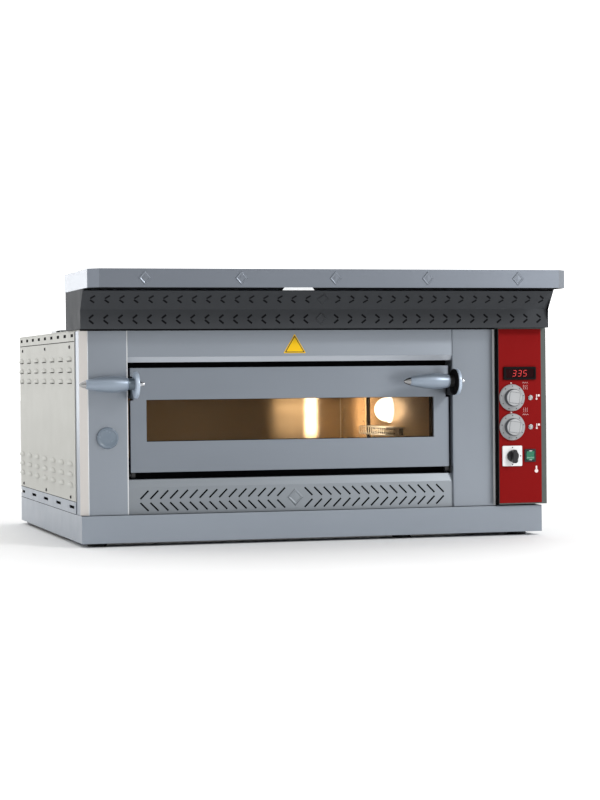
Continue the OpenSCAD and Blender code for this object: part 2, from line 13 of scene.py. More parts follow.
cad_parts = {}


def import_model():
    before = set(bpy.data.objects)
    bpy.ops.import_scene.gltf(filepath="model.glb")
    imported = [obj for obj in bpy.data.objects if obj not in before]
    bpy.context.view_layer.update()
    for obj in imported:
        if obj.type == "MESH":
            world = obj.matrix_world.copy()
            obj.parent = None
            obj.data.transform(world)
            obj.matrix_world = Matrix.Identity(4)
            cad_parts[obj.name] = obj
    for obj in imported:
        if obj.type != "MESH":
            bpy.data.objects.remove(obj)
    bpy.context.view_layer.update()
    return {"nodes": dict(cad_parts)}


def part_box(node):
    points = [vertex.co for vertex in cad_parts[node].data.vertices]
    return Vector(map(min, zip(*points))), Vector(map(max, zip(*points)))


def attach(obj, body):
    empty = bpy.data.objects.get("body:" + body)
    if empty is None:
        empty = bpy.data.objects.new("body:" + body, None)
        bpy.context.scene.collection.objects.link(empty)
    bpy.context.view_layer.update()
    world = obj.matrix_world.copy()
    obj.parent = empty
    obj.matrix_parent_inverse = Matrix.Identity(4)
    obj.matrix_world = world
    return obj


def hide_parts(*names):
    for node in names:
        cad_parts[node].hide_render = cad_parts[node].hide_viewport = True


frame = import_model()

MM = 0.001
PLINTH_LO, PLINTH_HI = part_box("plinth")
DATUM = Vector((0, PLINTH_LO.y, PLINTH_LO.z))
HALF_W = PLINTH_HI.x / MM
PLINTH_TOP, PLINTH_BACK = (PLINTH_HI.z - DATUM.z) / MM, (PLINTH_HI.y - DATUM.y) / MM
SHEET = 2                      # thickness of the folded sheet
POST_CORNER = 15               # depth of the left post's sloping corner
HOOD_FLARE = 33                # how far the hood's upper facet leans out
HOOD_LOW_FACET = 40            # height of the hood's upright lower facet
FASCIA_X, FASCIA_Z = -46, 85   # middle of the slots in the lower fascia
FASCIA_FACE = 19               # the lower fascia's front face
SCREW_ZS = (91, 407)           # heights of the panel screws
SKIN = 0.06                    # how far a dark filling lies past the sheet around it


def at(x, y, z):
    """A point given in millimetres from the datum, in the frame's metres."""
    return DATUM + MM * Vector((x, y, z))


def span(node):
    """The two corners of a CAD node in millimetres from the datum."""
    lo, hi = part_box(node)
    return (lo - DATUM) / MM, (hi - DATUM) / MM


def srgb(r, g, b):
    """A colour given as 0 to 255 display values, as linear numbers."""
    def linear(v):
        v /= 255
        return v / 12.92 if v <= 0.04045 else ((v + 0.055) / 1.055) ** 2.4
    return linear(r), linear(g), linear(b)


# ---- materials ----


def shader(name, color, metallic=0.0, roughness=0.5, **extra):
    """A Principled material; extra names sockets with underscores for spaces."""
    mat = bpy.data.materials.new(name)
    mat.use_nodes = True
    inputs = mat.node_tree.nodes["Principled BSDF"].inputs
    inputs["Base Color"].default_value = (*color, 1)
    inputs["Metallic"].default_value = metallic
    inputs["Roughness"].default_value = roughness
    for key, value in extra.items():
        inputs[key.replace("_", " ")].default_value = value
    return mat


def add_node(tree, kind, **values):
    """Adds a shader node; each value, or output to link, goes to the input it names."""
    node = tree.nodes.new("ShaderNode" + kind)
    for key, value in values.items():
        socket = node.inputs[key.replace("_", " ")]
        if isinstance(value, bpy.types.NodeSocket):
            tree.links.new(value, socket)
        else:
            socket.default_value = value
    return node


def to_shader(mat, output, socket):
    """Links an output to a socket of the material's shader."""
    mat.node_tree.links.new(output, mat.node_tree.nodes["Principled BSDF"].inputs[socket])


def noise(mat, per_metre, detail=3.0, rough=0.5):
    """Noise in the object's own space, with the given number of cells per metre along X, Y and Z."""
    tree = mat.node_tree
    coords = add_node(tree, "TexCoord").outputs["Object"]
    mapping = add_node(tree, "Mapping", Vector=coords, Scale=per_metre)
    tex = add_node(tree, "TexNoise", Vector=mapping.outputs["Vector"], Scale=1, Detail=detail,
                   Roughness=rough)
    return tex.outputs["Fac"]


def vary(mat, socket, fac, low, high):
    """Drives a number socket of the shader from a noise, between two values."""
    ramp = add_node(mat.node_tree, "MapRange", Value=fac, From_Min=0.3, From_Max=0.7, To_Min=low,
                    To_Max=high)
    to_shader(mat, ramp.outputs["Result"], socket)


def tint(mat, fac, dark, light):
    """Drives the base colour from a noise, between two colours."""
    ramp = add_node(mat.node_tree, "ValToRGB", Fac=fac)
    for element, position, color in zip(ramp.color_ramp.elements, (0.3, 0.7), (dark, light)):
        element.position = position
        element.color = (*color, 1)
    to_shader(mat, ramp.outputs["Color"], "Base Color")


def bump(mat, fac, height_mm, strength=1.0):
    """Adds relief from a noise."""
    node = add_node(mat.node_tree, "Bump", Distance=height_mm * MM, Strength=strength, Height=fac)
    to_shader(mat, node.outputs["Normal"], "Normal")


def tangent(mat, axis):
    """Sets the direction along which an anisotropic reflection is measured."""
    to_shader(mat, add_node(mat.node_tree, "CombineXYZ", **{axis: 1}).outputs["Vector"], "Tangent")


def shade_pair(color, amount):
    """A slightly darker and a slightly lighter colour around one."""
    return [c * (1 - amount) for c in color], [c * (1 + amount) for c in color]


# Cells per metre of the brushing and of the slow clouds in it, by the brushing's direction
BRUSHED = {"x": (9, 700, 700), "y": (700, 9, 700), "z": (700, 700, 9)}
CLOUDS = {"x": (2.2, 5, 7), "y": (5, 2.2, 7), "z": (7, 5, 2.2)}


def brushed(name, color, along="x", roughness=0.34, metallic=0.85, spread=0.04):
    """Brushed sheet: reflections smear across the brushing, with slow clouds in colour and gloss."""
    mat = shader(name, color, metallic, roughness, Anisotropic=0.6, Anisotropic_Rotation=0.25)
    tangent(mat, along.upper())
    tint(mat, noise(mat, CLOUDS[along], 2.0), *shade_pair(color, spread))
    vary(mat, "Roughness", noise(mat, BRUSHED[along]), roughness - 0.03, roughness + 0.03)
    bump(mat, noise(mat, BRUSHED[along], 2.0), 0.006, 0.3)
    return mat


def enamel(name, color, roughness=0.38, orange_peel_mm=0.02, **extra):
    """Baked paint with a faint orange peel."""
    mat = shader(name, color, 0.0, roughness, **extra)
    tint(mat, noise(mat, (4, 4, 4), 2.0), *shade_pair(color, 0.02))
    vary(mat, "Roughness", noise(mat, (25, 25, 25)), roughness - 0.04, roughness + 0.04)
    bump(mat, noise(mat, (260, 260, 260), 1.0), orange_peel_mm, 0.35)
    return mat


def moulded(name, color, roughness=0.45, grain_mm=0.03, **extra):
    """Moulded plastic with a fine spark-eroded grain."""
    mat = shader(name, color, 0.0, roughness, **extra)
    tint(mat, noise(mat, (60, 60, 60), 2.0), *shade_pair(color, 0.03))
    vary(mat, "Roughness", noise(mat, (90, 90, 90)), roughness - 0.05, roughness + 0.05)
    bump(mat, noise(mat, (1400, 1400, 1400), 1.0), grain_mm, 0.3)
    return mat


def chamber_sheet():
    """Heat-tinted bright sheet, brushed level, so that the lamp's reflection smears upright."""
    mat = shader("chamber_steel", srgb(186, 155, 114), 1.0, 0.38, Anisotropic=0.85)
    tangent(mat, "Z")
    tint(mat, noise(mat, (3, 3, 6), 3.0), srgb(174, 142, 98), srgb(196, 167, 128))
    vary(mat, "Roughness", noise(mat, (3, 3, 40)), 0.32, 0.40)
    return mat


def stone():
    """Grainy cordierite stone."""
    mat = shader("baking_stone", srgb(196, 178, 150), 0.0, 0.9)
    tint(mat, noise(mat, (30, 30, 30), 6.0, 0.65), srgb(168, 148, 120), srgb(212, 197, 172))
    bump(mat, noise(mat, (220, 220, 220), 5.0, 0.7), 0.6, 0.7)
    return mat


def wool():
    """Dark, fibrous mineral wool."""
    mat = shader("mineral_wool", srgb(34, 33, 30), 0.0, 1.0)
    tint(mat, noise(mat, (60, 60, 400), 5.0), srgb(26, 25, 22), srgb(46, 44, 38))
    bump(mat, noise(mat, (300, 300, 900), 4.0), 1.5, 1.0)
    return mat


def glow(name, color, strength, roughness=0.3):
    """A surface that gives off light."""
    mat = shader(name, color, 0.0, roughness)
    inputs = mat.node_tree.nodes["Principled BSDF"].inputs
    inputs["Emission Color"].default_value = (*color, 1)
    inputs["Emission Strength"].default_value = strength
    return mat


def clear_glass(name, color, alpha, roughness=0.04):
    """A clear pane, with slow changes in gloss."""
    mat = shader(name, color, 0.0, roughness, Alpha=alpha, Specular_IOR_Level=0.25)
    vary(mat, "Roughness", noise(mat, (14, 14, 14), 2.0), roughness, roughness + 0.04)
    return mat


def pressed(mat, centre, half, pitch, depth_mm):
    """Adds a pressed lozenge to a material's relief, repeated along X and Z by the pitches in mm."""
    tree = mat.node_tree
    coords = add_node(tree, "TexCoord").outputs["Object"]
    split = add_node(tree, "SeparateXYZ", Vector=coords)

    def math_node(operation, a, b):
        node = add_node(tree, "Math")
        node.operation = operation
        tree.links.new(a, node.inputs[0])
        if isinstance(b, float):
            node.inputs[1].default_value = b
        else:
            tree.links.new(b, node.inputs[1])
        return node.outputs["Value"]

    def distance(axis, index, middle):
        away = math_node("SUBTRACT", split.outputs[axis], middle)
        away = math_node("PINGPONG", away, pitch[index] * MM / 2)
        return math_node("DIVIDE", away, half[index] * MM * 1.5)

    middle = at(centre[0], 0, centre[1])
    height = math_node("ADD", distance("X", 0, middle.x), distance("Z", 1, middle.z))
    ramp = add_node(tree, "ValToRGB", Fac=height)
    stops = ((0.0, 0.5), (0.42, 0.3), (0.52, 1.0), (0.60, 1.0), (0.70, 0.0))
    ramp.color_ramp.elements[0].position = stops[0][0]
    ramp.color_ramp.elements[1].position = stops[-1][0]
    for position, _ in stops[1:-1]:
        ramp.color_ramp.elements.new(position)
    for element, (_, level_here) in zip(ramp.color_ramp.elements, stops):
        element.color = (level_here, level_here, level_here, 1)
    node = add_node(tree, "Bump", Distance=depth_mm * MM, Height=ramp.outputs["Color"])
    shader_normal = tree.nodes["Principled BSDF"].inputs["Normal"]
    if shader_normal.links:
        tree.links.new(shader_normal.links[0].from_socket, node.inputs["Normal"])
    to_shader(mat, node.outputs["Normal"], "Normal")
    return mat


def black_and_shade(name):
    """Dull black for gaps and linings, and painted shade in slots, holes and shaded gaps."""
    mat = shader(name, (0.004, 0.004, 0.005), 0.0, 0.9, Specular_IOR_Level=0.05)
    tint(mat, noise(mat, (80, 80, 80)), (0.003, 0.003, 0.004), (0.006, 0.006, 0.007))
    return mat


def floor_paint():
    """A plain pale floor."""
    mat = shader("pale_floor", (0.86, 0.86, 0.86), 0.0, 0.7)
    tint(mat, noise(mat, (3, 3, 3), 2.0), (0.85, 0.85, 0.85), (0.87, 0.87, 0.87))
    return mat


STEEL = srgb(150, 157, 166)
# Pressed lozenges: middle (X, Z), half width and height, pitches and depth, in mm; 4000 means one only
HOOD_LOZENGES = ((0, 461), (12.5, 12.5), (4000, 40.5), 1.0)
CAP_LOZENGES = ((0, 541), (12.5, 14), (199, 4000), 0.8)
FASCIA_LOZENGE = ((-45, 86), (17, 18), (4000, 4000), 1.1)
LOOKS = {
    "steel_x": brushed("steel_across", STEEL, "x"),
    "steel_z": brushed("steel_upright", STEEL, "z"),
    "steel_door": brushed("steel_door", srgb(136, 143, 152), "x"),
    # A lighter steel: painted reflection on the left post's sloping corner
    "corner": brushed("corner_painted_sheen_steel", srgb(212, 208, 204), "z", 0.45, 0.5),
    # A lighter steel: painted reflection on the upper fascia's slanting lower edge
    "lip": brushed("painted_sheen_lip_steel", srgb(190, 196, 204), "x", 0.5, 0.3),
    "fascia": pressed(brushed("steel_fascia", srgb(146, 152, 158), "x", 0.38), *FASCIA_LOZENGE),
    "cap": pressed(brushed("steel_cap", srgb(124, 130, 139), "x", 0.34), *CAP_LOZENGES),
    "grey_paint": enamel("grey_enamel", srgb(138, 146, 156), 0.42),
    "cream": enamel("cream_enamel", srgb(182, 182, 176), 0.55, Specular_IOR_Level=0.15),
    "hood": pressed(enamel("hood_enamel", srgb(66, 68, 71), 0.6, Specular_IOR_Level=0.06),
                    *HOOD_LOZENGES),
    "housing": enamel("housing_enamel", srgb(78, 84, 81), 0.45),
    "red": enamel("red_plate", srgb(130, 11, 12), 0.6, 0.01, Specular_IOR_Level=0.08),
    "zinc": brushed("zinc_sheet", srgb(150, 154, 156), "y", 0.45, 0.8),
    "chamber": chamber_sheet(),
    # A dark steel: painted shadow on the right wall's strip, and the darker patch behind the basket
    "dark_tone": brushed("dark_tone_steel", srgb(44, 32, 20), "z", 0.7, 0.2),
    "stone": stone(),
    "wool": wool(),
    "heater": brushed("heater_sheath", srgb(92, 82, 76), "x", 0.45, 0.8),
    "basket": brushed("basket_wire", srgb(250, 240, 218), "y", 0.4, 0.1),
    "guard": brushed("guard_steel", srgb(232, 214, 180), "y", 0.30, 0.8),
    "arm": brushed("arm_steel", srgb(186, 200, 216), "z", 0.30, 0.25),
    "neck": brushed("neck_steel", srgb(104, 116, 126), "z", 0.30, 0.5),
    "chrome": brushed("chrome", srgb(168, 168, 168), "x", 0.12, 1.0, 0.02),
    "bright": brushed("bright_steel", srgb(205, 208, 212), "x", 0.22, 1.0),
    # A pale steel: painted highlights on the posts' folds, painted reflection on the cap's tab
    "painted_sheen": brushed("painted_sheen_steel", srgb(222, 224, 226), "x", 0.5, 0.2),
    "grip": enamel("grip_satin", srgb(146, 158, 172), 0.40, 0.01, Metallic=0.5),
    "vent": moulded("vent_knob_plastic", srgb(108, 121, 134), 0.24, 0.01, Coat_Weight=0.3),
    "black": moulded("black_plastic", srgb(18, 18, 22), 0.40),
    # Dark steel for dark parts and marks, and painted shade on the right handle's neck and bar
    "dark_and_shade": enamel("dark_steel_and_painted_shade", srgb(22, 22, 24), 0.50),
    "black_and_shade": black_and_shade("black_and_shade_black"),
    "knob": moulded("knob_plastic", srgb(156, 158, 160), 0.45),
    "knob_face": moulded("knob_face_plastic", srgb(172, 174, 176), 0.45),
    # A darker copy of the knob grey: painted shade on the grips' flanks and pad rims
    "knob_painted_shade": moulded("knob_side_plastic", srgb(84, 87, 91), 0.45),
    "white": moulded("white_plastic", srgb(236, 237, 238), 0.35, 0.01),
    "mark": moulded("pale_print", srgb(236, 222, 220), 0.5, 0.005),
    "ceramic": moulded("lamp_ceramic", srgb(232, 228, 218), 0.25, 0.01),
    "yellow": enamel("sign_yellow", srgb(250, 200, 14), 0.50, 0.01, Specular_IOR_Level=0.2),
    "green": moulded("rocker_green", srgb(8, 112, 80), 0.22, 0.005, Coat_Weight=0.3),
    "lens": clear_glass("lamp_lens", srgb(200, 200, 196), 0.75, 0.1),
    "window_film": moulded("display_film", srgb(34, 4, 8), 0.25, 0.003, Specular_IOR_Level=0.08),
    "bezel": moulded("bezel_plastic", srgb(10, 9, 11), 0.35, 0.01, Specular_IOR_Level=0.12),
    "digit": glow("display_digit", srgb(225, 62, 60), 0.75),
    "glass": clear_glass("door_glass", srgb(64, 50, 30), 0.13),
    "lamp": glow("lamp_glass", srgb(255, 240, 215), 2.4),
    "seal": moulded("door_seal", srgb(20, 20, 22), 0.9, 0.1, Specular_IOR_Level=0.1),
    "floor": floor_paint(),
}

# The look of every CAD node
NODE_LOOKS = {
    "grey_paint": "plinth left_bottom_rail right_bottom_rail",
    "black": "feet display rocker_frame heat_controls contactor cable_gland main_switch_lever",
    "dark_and_shade": "base_pan panel_screws hinge_bearings hinge_pins",
    "cream": "left_side_panel right_side_panel rear_panel left_top_rail right_top_rail top_cover",
    "steel_z": "left_post right_post",
    "steel_x": "upper_fascia",
    "fascia": "lower_fascia",
    "black_and_shade": "mouth_frame",
    "chamber": "chamber_left_wall chamber_right_wall chamber_rear_wall chamber_ceiling"
               " chamber_floor",
    "stone": "stone_deck",
    "heater": "top_elements bottom_elements",
    "wool": "insulation",
    "ceramic": "lamp_socket",
    "lamp": "lamp_glass",
    "guard": "probe_guard thermo_probe",
    "zinc": "steam_duct flue_box steam_shutter",
    "hood": "hood_shell hood_back_panel",
    "cap": "cap",
    "housing": "control_housing",
    "red": "control_plate",
    "lens": "indicator_lamps",
    "white": "switch_plate terminal_block",
    "yellow": "triangle_plate",
    "steel_door": "door_skin door_inner_frame",
    "glass": "door_glass",
    "grip": "left_handle right_handle",
    "arm": "handle_arms",
    "knob": "top_heat_knob bottom_heat_knob",
    "green": "light_rocker",
    "vent": "steam_knob",
}


def soften(obj, width_mm, segments=2):
    """Rounds the hard edges of a sheet or block."""
    bevel = obj.modifiers.new("bevel", "BEVEL")
    bevel.width = width_mm * MM
    bevel.segments = segments
    bevel.limit_method = "ANGLE"
    bevel.angle_limit = radians(35)
    bevel.harden_normals = True
    return obj


def dress_nodes():
    """Gives every CAD node its material, and the plain ones softened edges."""
    softened = {
        0.4: "control_plate", 0.6: "upper_fascia mouth_frame",
        0.7: "left_side_panel right_side_panel rear_panel top_cover flue_box "
             "left_top_rail right_top_rail left_bottom_rail right_bottom_rail",
        0.8: "door_skin", 0.9: "plinth cap", 1.0: "feet lamp_socket",
        1.5: "door_inner_frame terminal_block", 2.0: "stone_deck contactor",
    }
    for look, names in NODE_LOOKS.items():
        for name in names.split():
            materials = frame["nodes"][name].data.materials
            materials.clear()
            materials.append(LOOKS[look])
    for width, names in softened.items():
        for name in names.split():
            obj = frame["nodes"][name]
            weld = obj.modifiers.new("weld", "WELD")
            weld.merge_threshold = 1e-6
            flat = obj.modifiers.new("flat", "DECIMATE")
            flat.decimate_type = "DISSOLVE"
            flat.angle_limit = radians(1)
            soften(obj, width)


# ---- making pieces ----


def piece(obj, body, slot, *replaced):
    """Attaches a finished object to its body, and hides the CAD nodes that it replaces."""
    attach(obj, body)
    if replaced:
        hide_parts(*replaced)
    return obj


def from_bmesh(name, bm, look, angle=35):
    """An object from a bmesh, smooth except across edges sharper than angle."""
    bmesh.ops.remove_doubles(bm, verts=bm.verts, dist=1e-7)
    bmesh.ops.recalc_face_normals(bm, faces=bm.faces)
    limit = radians(angle)
    for face in bm.faces:
        face.smooth = True
    for edge in bm.edges:
        edge.smooth = len(edge.link_faces) == 2 and edge.calc_face_angle(0) < limit
    mesh = bpy.data.meshes.new(name)
    bm.to_mesh(mesh)
    bm.free()
    mesh.materials.append(LOOKS[look])
    obj = bpy.data.objects.new(name, mesh)
    bpy.context.scene.collection.objects.link(obj)
    return obj


def frame_of(direction):
    """A direction as a unit vector, and two unit vectors square to it."""
    direction = Vector(direction).normalized()
    side = direction.orthogonal().normalized()
    return direction, side, direction.cross(side)


def add_lathe(bm, profile, origin, direction, segments=48):
    """Adds a turned solid: profile is (radius, distance) pairs in mm from origin along direction."""
    direction, u, v = frame_of(direction)
    rings = []
    for radius, distance in profile:
        centre = origin + direction * distance * MM
        if radius < 1e-6:
            rings.append([bm.verts.new(centre)])
            continue
        rings.append([
            bm.verts.new(centre + radius * MM * (u * cos(a) + v * sin(a)))
            for a in (2 * pi * i / segments for i in range(segments))
        ])
    for a, b in zip(rings, rings[1:]):
        for i in range(segments):
            j = (i + 1) % segments
            if len(a) == 1 and len(b) == 1:
                continue
            if len(a) == 1:
                bm.faces.new((a[0], b[i], b[j]))
            elif len(b) == 1:
                bm.faces.new((a[i], a[j], b[0]))
            else:
                bm.faces.new((a[i], a[j], b[j], b[i]))
    for ring in (rings[0], rings[-1]):
        if len(ring) > 1:
            bm.faces.new(ring)


def lathe(name, profile, origin, direction, look, segments=48, angle=35):
    """An object turned about a direction."""
    bm = bmesh.new()
    add_lathe(bm, profile, origin, direction, segments)
    return from_bmesh(name, bm, look, angle)


def add_prism(bm, outline, to_point, depth):
    """Adds a prism: outline is 2D points in mm, to_point(a, b, d) places them at depth d."""
    near = [bm.verts.new(to_point(a, b, 0)) for a, b in outline]
    far = [bm.verts.new(to_point(a, b, depth)) for a, b in outline]
    n = len(outline)
    bm.faces.new(near)
    bm.faces.new(far)
    for i in range(n):
        j = (i + 1) % n
        bm.faces.new((near[i], near[j], far[j], far[i]))


def facing(y, sign=1):
    """Places X and Z on an upright plane; depth grows to the front, or to the back with sign -1."""
    return lambda a, b, d: at(a, y - sign * d, b)


def sideways(x, sign=1):
    """Places Y and Z on an upright plane; depth grows to the right, or to the left with sign -1."""
    return lambda a, b, d: at(x + sign * d, a, b)


def level(z, sign=1):
    """Places X and Y on a level plane; depth grows upwards, or downwards with sign -1."""
    return lambda a, b, d: at(a, b, z + sign * d)


def bridge(bm, rings):
    """Joins closed rings of equal counts, each to the next."""
    for a, b in zip(rings, rings[1:]):
        for i in range(len(a)):
            j = (i + 1) % len(a)
            bm.faces.new((a[i], a[j], b[j], b[i]))


def capped(bm, rings):
    """Joins closed rings and closes both ends."""
    bridge(bm, rings)
    bm.faces.new(rings[0])
    bm.faces.new(rings[-1])


def front_view(node):
    """A CAD node seen from the front: its middle in X and Z, its width and its height."""
    lo, hi = span(node)
    return (lo.x + hi.x) / 2, (lo.z + hi.z) / 2, hi.x - lo.x, hi.z - lo.z


def prism(name, outline, to_point, depth, look, round_mm=0.0, segments=3):
    """A prism as an object, with its edges rounded if asked."""
    bm = bmesh.new()
    add_prism(bm, outline, to_point, depth)
    obj = from_bmesh(name, bm, look)
    if round_mm:
        soften(obj, round_mm, segments)
    return obj


def arc(cx, cy, radius, start, end, steps=6):
    """Points on an arc, with its angles in degrees."""
    angles = [radians(start + (end - start) * i / steps) for i in range(steps + 1)]
    return [(cx + radius * cos(t), cy + radius * sin(t)) for t in angles]


def rounded_rect(cx, cy, width, height, radius, steps=5):
    """Points of a rectangle with rounded corners."""
    x, y = width / 2 - radius, height / 2 - radius
    return (arc(cx + x, cy + y, radius, 0, 90, steps) + arc(cx - x, cy + y, radius, 90, 180, steps)
            + arc(cx - x, cy - y, radius, 180, 270, steps)
            + arc(cx + x, cy - y, radius, 270, 360, steps))


def edged_rect(x0, x1, y0, y1, radius, steps=2):
    """Points of a rounded rectangle between four edges."""
    return rounded_rect((x0 + x1) / 2, (y0 + y1) / 2, x1 - x0, y1 - y0, radius, steps)


def rounded_path(points, radius, steps=5):
    """A 2D path with its inner corners rounded."""
    out = [points[0]]
    for before, corner, after in zip(points, points[1:], points[2:]):
        a, c, b = Vector(before), Vector(corner), Vector(after)
        d1, d2 = (a - c).normalized(), (b - c).normalized()
        half = d1.angle(d2) / 2
        reach = min(radius / tan(half), 0.45 * (a - c).length, 0.45 * (b - c).length)
        p1, p2 = c + d1 * reach, c + d2 * reach
        for i in range(steps + 1):
            t = i / steps
            out.append(tuple(p1 * (1 - t) ** 2 + c * 2 * t * (1 - t) + p2 * t ** 2))
    return out + [points[-1]]


def offset_path(path, distance):
    """The path moved to its left by a distance."""
    out = []
    for i, p in enumerate(path):
        a = Vector(path[max(i - 1, 0)])
        b = Vector(path[min(i + 1, len(path) - 1)])
        d = (b - a).normalized()
        out.append((p[0] - d.y * distance, p[1] + d.x * distance))
    return out


def folded_sheet(name, path, thickness, radius, to_point, length, look):
    """A sheet folded along a 2D path, with rounded folds, extruded by length."""
    outer = rounded_path(path, radius)
    outline = outer + offset_path(outer, thickness)[::-1]
    return prism(name, outline, to_point, length, look, 0.4, 2)


def wire(bm, points, radius_mm, sides=8):
    """Adds a thin round bar along points of the frame."""
    rings, u = [], None
    for i, p in enumerate(points):
        along = (points[min(i + 1, len(points) - 1)] - points[max(i - 1, 0)])
        direction = along.normalized()
        before = u
        _, u, v = frame_of(along)
        if before:
            u = (before - direction * before.dot(direction)).normalized()
            v = direction.cross(u)
        rings.append([
            bm.verts.new(p + radius_mm * MM * (u * cos(a) + v * sin(a)))
            for a in (2 * pi * k / sides for k in range(sides))
        ])
    capped(bm, rings)


# ---- posts and fascia ----


def posts():
    """The two posts as folded sheet with rounded folds."""
    for name, wall_y in (("left_post", 62), ("right_post", 40)):
        lo, hi = span(name)
        path = [(lo.x, hi.y), (lo.x, lo.y), (hi.x, lo.y), (hi.x, wall_y)]
        if name == "left_post":
            path[1:2] = [(lo.x, lo.y + POST_CORNER), (lo.x + POST_CORNER, lo.y)]
        post = folded_sheet(name + "_sheet", path, SHEET, 3.5, level(lo.z), hi.z - lo.z, "steel_z")
        piece(post, "casing", "stainless", name)


# ---- handles ----


def grip_radius(s, length, neck=13, belly=46):
    """Radius of the handle's grip at a distance s from its disc."""
    if s < belly:
        return 13.4 + 3.6 * sin(radians(90 * (s - neck) / (belly - neck)))
    return 0.6 + 16.4 * sqrt(max(0.0, 1 - ((s - belly) / (length - belly)) ** 1.34))


def handle(side):
    """A steel neck, a swelling satin grip and a pointed bright tip."""
    lo, hi = span(side + "_handle")
    length = hi.x - lo.x
    origin = at(hi.x, (lo.y + hi.y) / 2, (lo.z + hi.z) / 2)
    left = (-1, 0, 0)
    neck, split, steps = 13, 0.875 * length, 28
    ring = [(0, -0.3), (11.2, -0.3), (12.3, 0.8), (12.0, 3), (11.6, neck - 3), (12.3, neck), (0, neck)]
    # Painted shade: the right neck is dark, the left one steel
    neck_look = "neck" if side == "left" else "dark_and_shade"
    piece(lathe(side + "_neck", ring, origin, left, neck_look, 56, 50), "door", "arm_steel")
    body = [(0, neck - 0.5), (10.6, neck - 0.5), (12.6, neck + 0.4), (13.4, neck + 2)]
    for i in range(1, steps + 1):
        s = neck + 2 + (split - neck - 2) * i / steps
        body.append((grip_radius(s, length), s))
    edge = body[-1][0]
    body += [(edge - 0.4, split + 0.3), (0, split + 0.3)]
    grip = lathe(side + "_grip", body, origin, left, "grip", 64, 50)
    piece(grip, "door", "grip_satin", side + "_handle")
    cone = [(0, split), (edge - 0.5, split)]
    for i in range(13):
        s = split + 0.6 + (length - split - 0.8) * i / 12
        cone.append((max(0.5, grip_radius(s, length) - 0.6), s))
    cone += [(0, length)]
    piece(lathe(side + "_tip", cone, origin, left, "chrome", 56, 40), "door", "arm_steel")


def handle_arms():
    """The discs, their bars through the door's notches, and the bolts that hold the grips."""
    lo, hi = span("handle_arms")
    thick, radius = 8, 28
    for side, x in (("left", lo.x), ("right", hi.x - 14 - thick)):
        y, z = lo.y + radius, hi.z - radius
        rim = [(0, 0), (25, 0), (27, 0.6), (28, 2.2), (28, 5.8), (27, 7.4), (25, 8), (0, 8)]
        disc = lathe(side + "_disc", rim, at(x, y, z), (1, 0, 0), "arm", 64, 50)
        piece(disc, "door", "arm_steel", "handle_arms")
        bar = edged_rect(y, hi.y, 298, 339, 4, 5)
        # Painted shade: the right bar is dark, the left one steel
        bar_look = "neck" if side == "left" else "dark_and_shade"
        plate = prism(side + "_arm_bar", bar, sideways(x + 0.6), thick - 1.2, bar_look, 0.6, 2)
        piece(plate, "door", "arm_steel")
        bm = bmesh.new()
        head = at(x + thick, y, z + 2)
        add_lathe(bm, [(0, 0), (9, 0), (9, 1.2), (8.4, 1.6), (0, 1.6)], head, (1, 0, 0), 32)
        add_lathe(bm, [(0, 1.6), (6.6, 1.6), (6.6, 6.2), (5.8, 7), (0, 7)], head, (1, 0, 0), 6)
        stud = [(0, 7), (4.6, 7), (4.9, 11), (4.2, 13), (2.4, 13.9), (0, 14)]
        add_lathe(bm, stud, head, (1, 0, 0), 24)
        piece(from_bmesh(side + "_handle_bolt", bm, "bright"), "door", "arm_steel")
    # Painted shade: a black washer behind the right disc only, placed where the loop ended
    washer = [(0, 0), (26.5, 0), (27.6, 0.8), (27.6, 3.4), (26.5, 4), (0, 4)]
    obj = lathe("right_washer", washer, at(x, y, z), (-1, 0, 0), "black_and_shade", 56)
    piece(obj, "door", "dark_metal")


# ---- cap ----


def cap_tab():
    """A small bright tab hanging from the cap's front edge, and the cap's black underside."""
    cap_lo, cap_hi = span("cap")
    hood_lo, _ = span("hood_shell")
    front, back = cap_lo.y + 2, hood_lo.y + 3
    z = cap_lo.z
    lining = [(cap_lo.x + 3, back), (cap_lo.x + 3, front + 21), (cap_lo.x + 22, front),
              (cap_hi.x - 22, front), (cap_hi.x - 3, front + 21), (cap_hi.x - 3, back)]
    piece(prism("cap_lining", lining, level(z, -1), 0.4, "black_and_shade"), "casing", "cap_steel")
    # The tab's pale colour is a painted reflection of the floor below it
    tab = [(-113, z - 5.6), (-45, z - 5.6), (-49.5, z + 0.2), (-108.5, z + 0.2)]
    piece(prism("cap_tab", tab, facing(front), 1.2, "painted_sheen", 0.3, 2), "casing", "cap_steel")


# ---- side and rear panels ----


def add_louvre(bm, to_point, length=66, height=9, proud=4.2):
    """A pressed scoop, open at its lower edge; to_point(along, up, out) places it."""
    across, up = 18, 6
    rows = []
    for i in range(across + 1):
        a = -1 + 2 * i / across
        k = max(0.0, 1 - abs(a) ** 3.2) ** 0.6
        row = []
        for j in range(up + 1):
            t = radians(90 * j / up)
            rise, out = height * k * cos(t), proud * k * sin(t)
            row.append(bm.verts.new(to_point(a * length / 2, rise, out)))
        rows.append(row)
    for r, s in zip(rows, rows[1:]):
        for j in range(up):
            bm.faces.new((r[j], s[j], s[j + 1], r[j + 1]))


# Heights of the slots that the scoops cover
SIDE_LOUVRES = (331, 354.5, 378, 115, 137, 159)
REAR_LOUVRES = (115, 137, 378)


def louvre_sheet(name, bm):
    """Gives a row of scoops its thickness."""
    obj = from_bmesh(name, bm, "cream", 60)
    thick = obj.modifiers.new("thick", "SOLIDIFY")
    thick.thickness = 0.5 * MM
    thick.offset = -1
    piece(obj, "casing", "cream_paint")


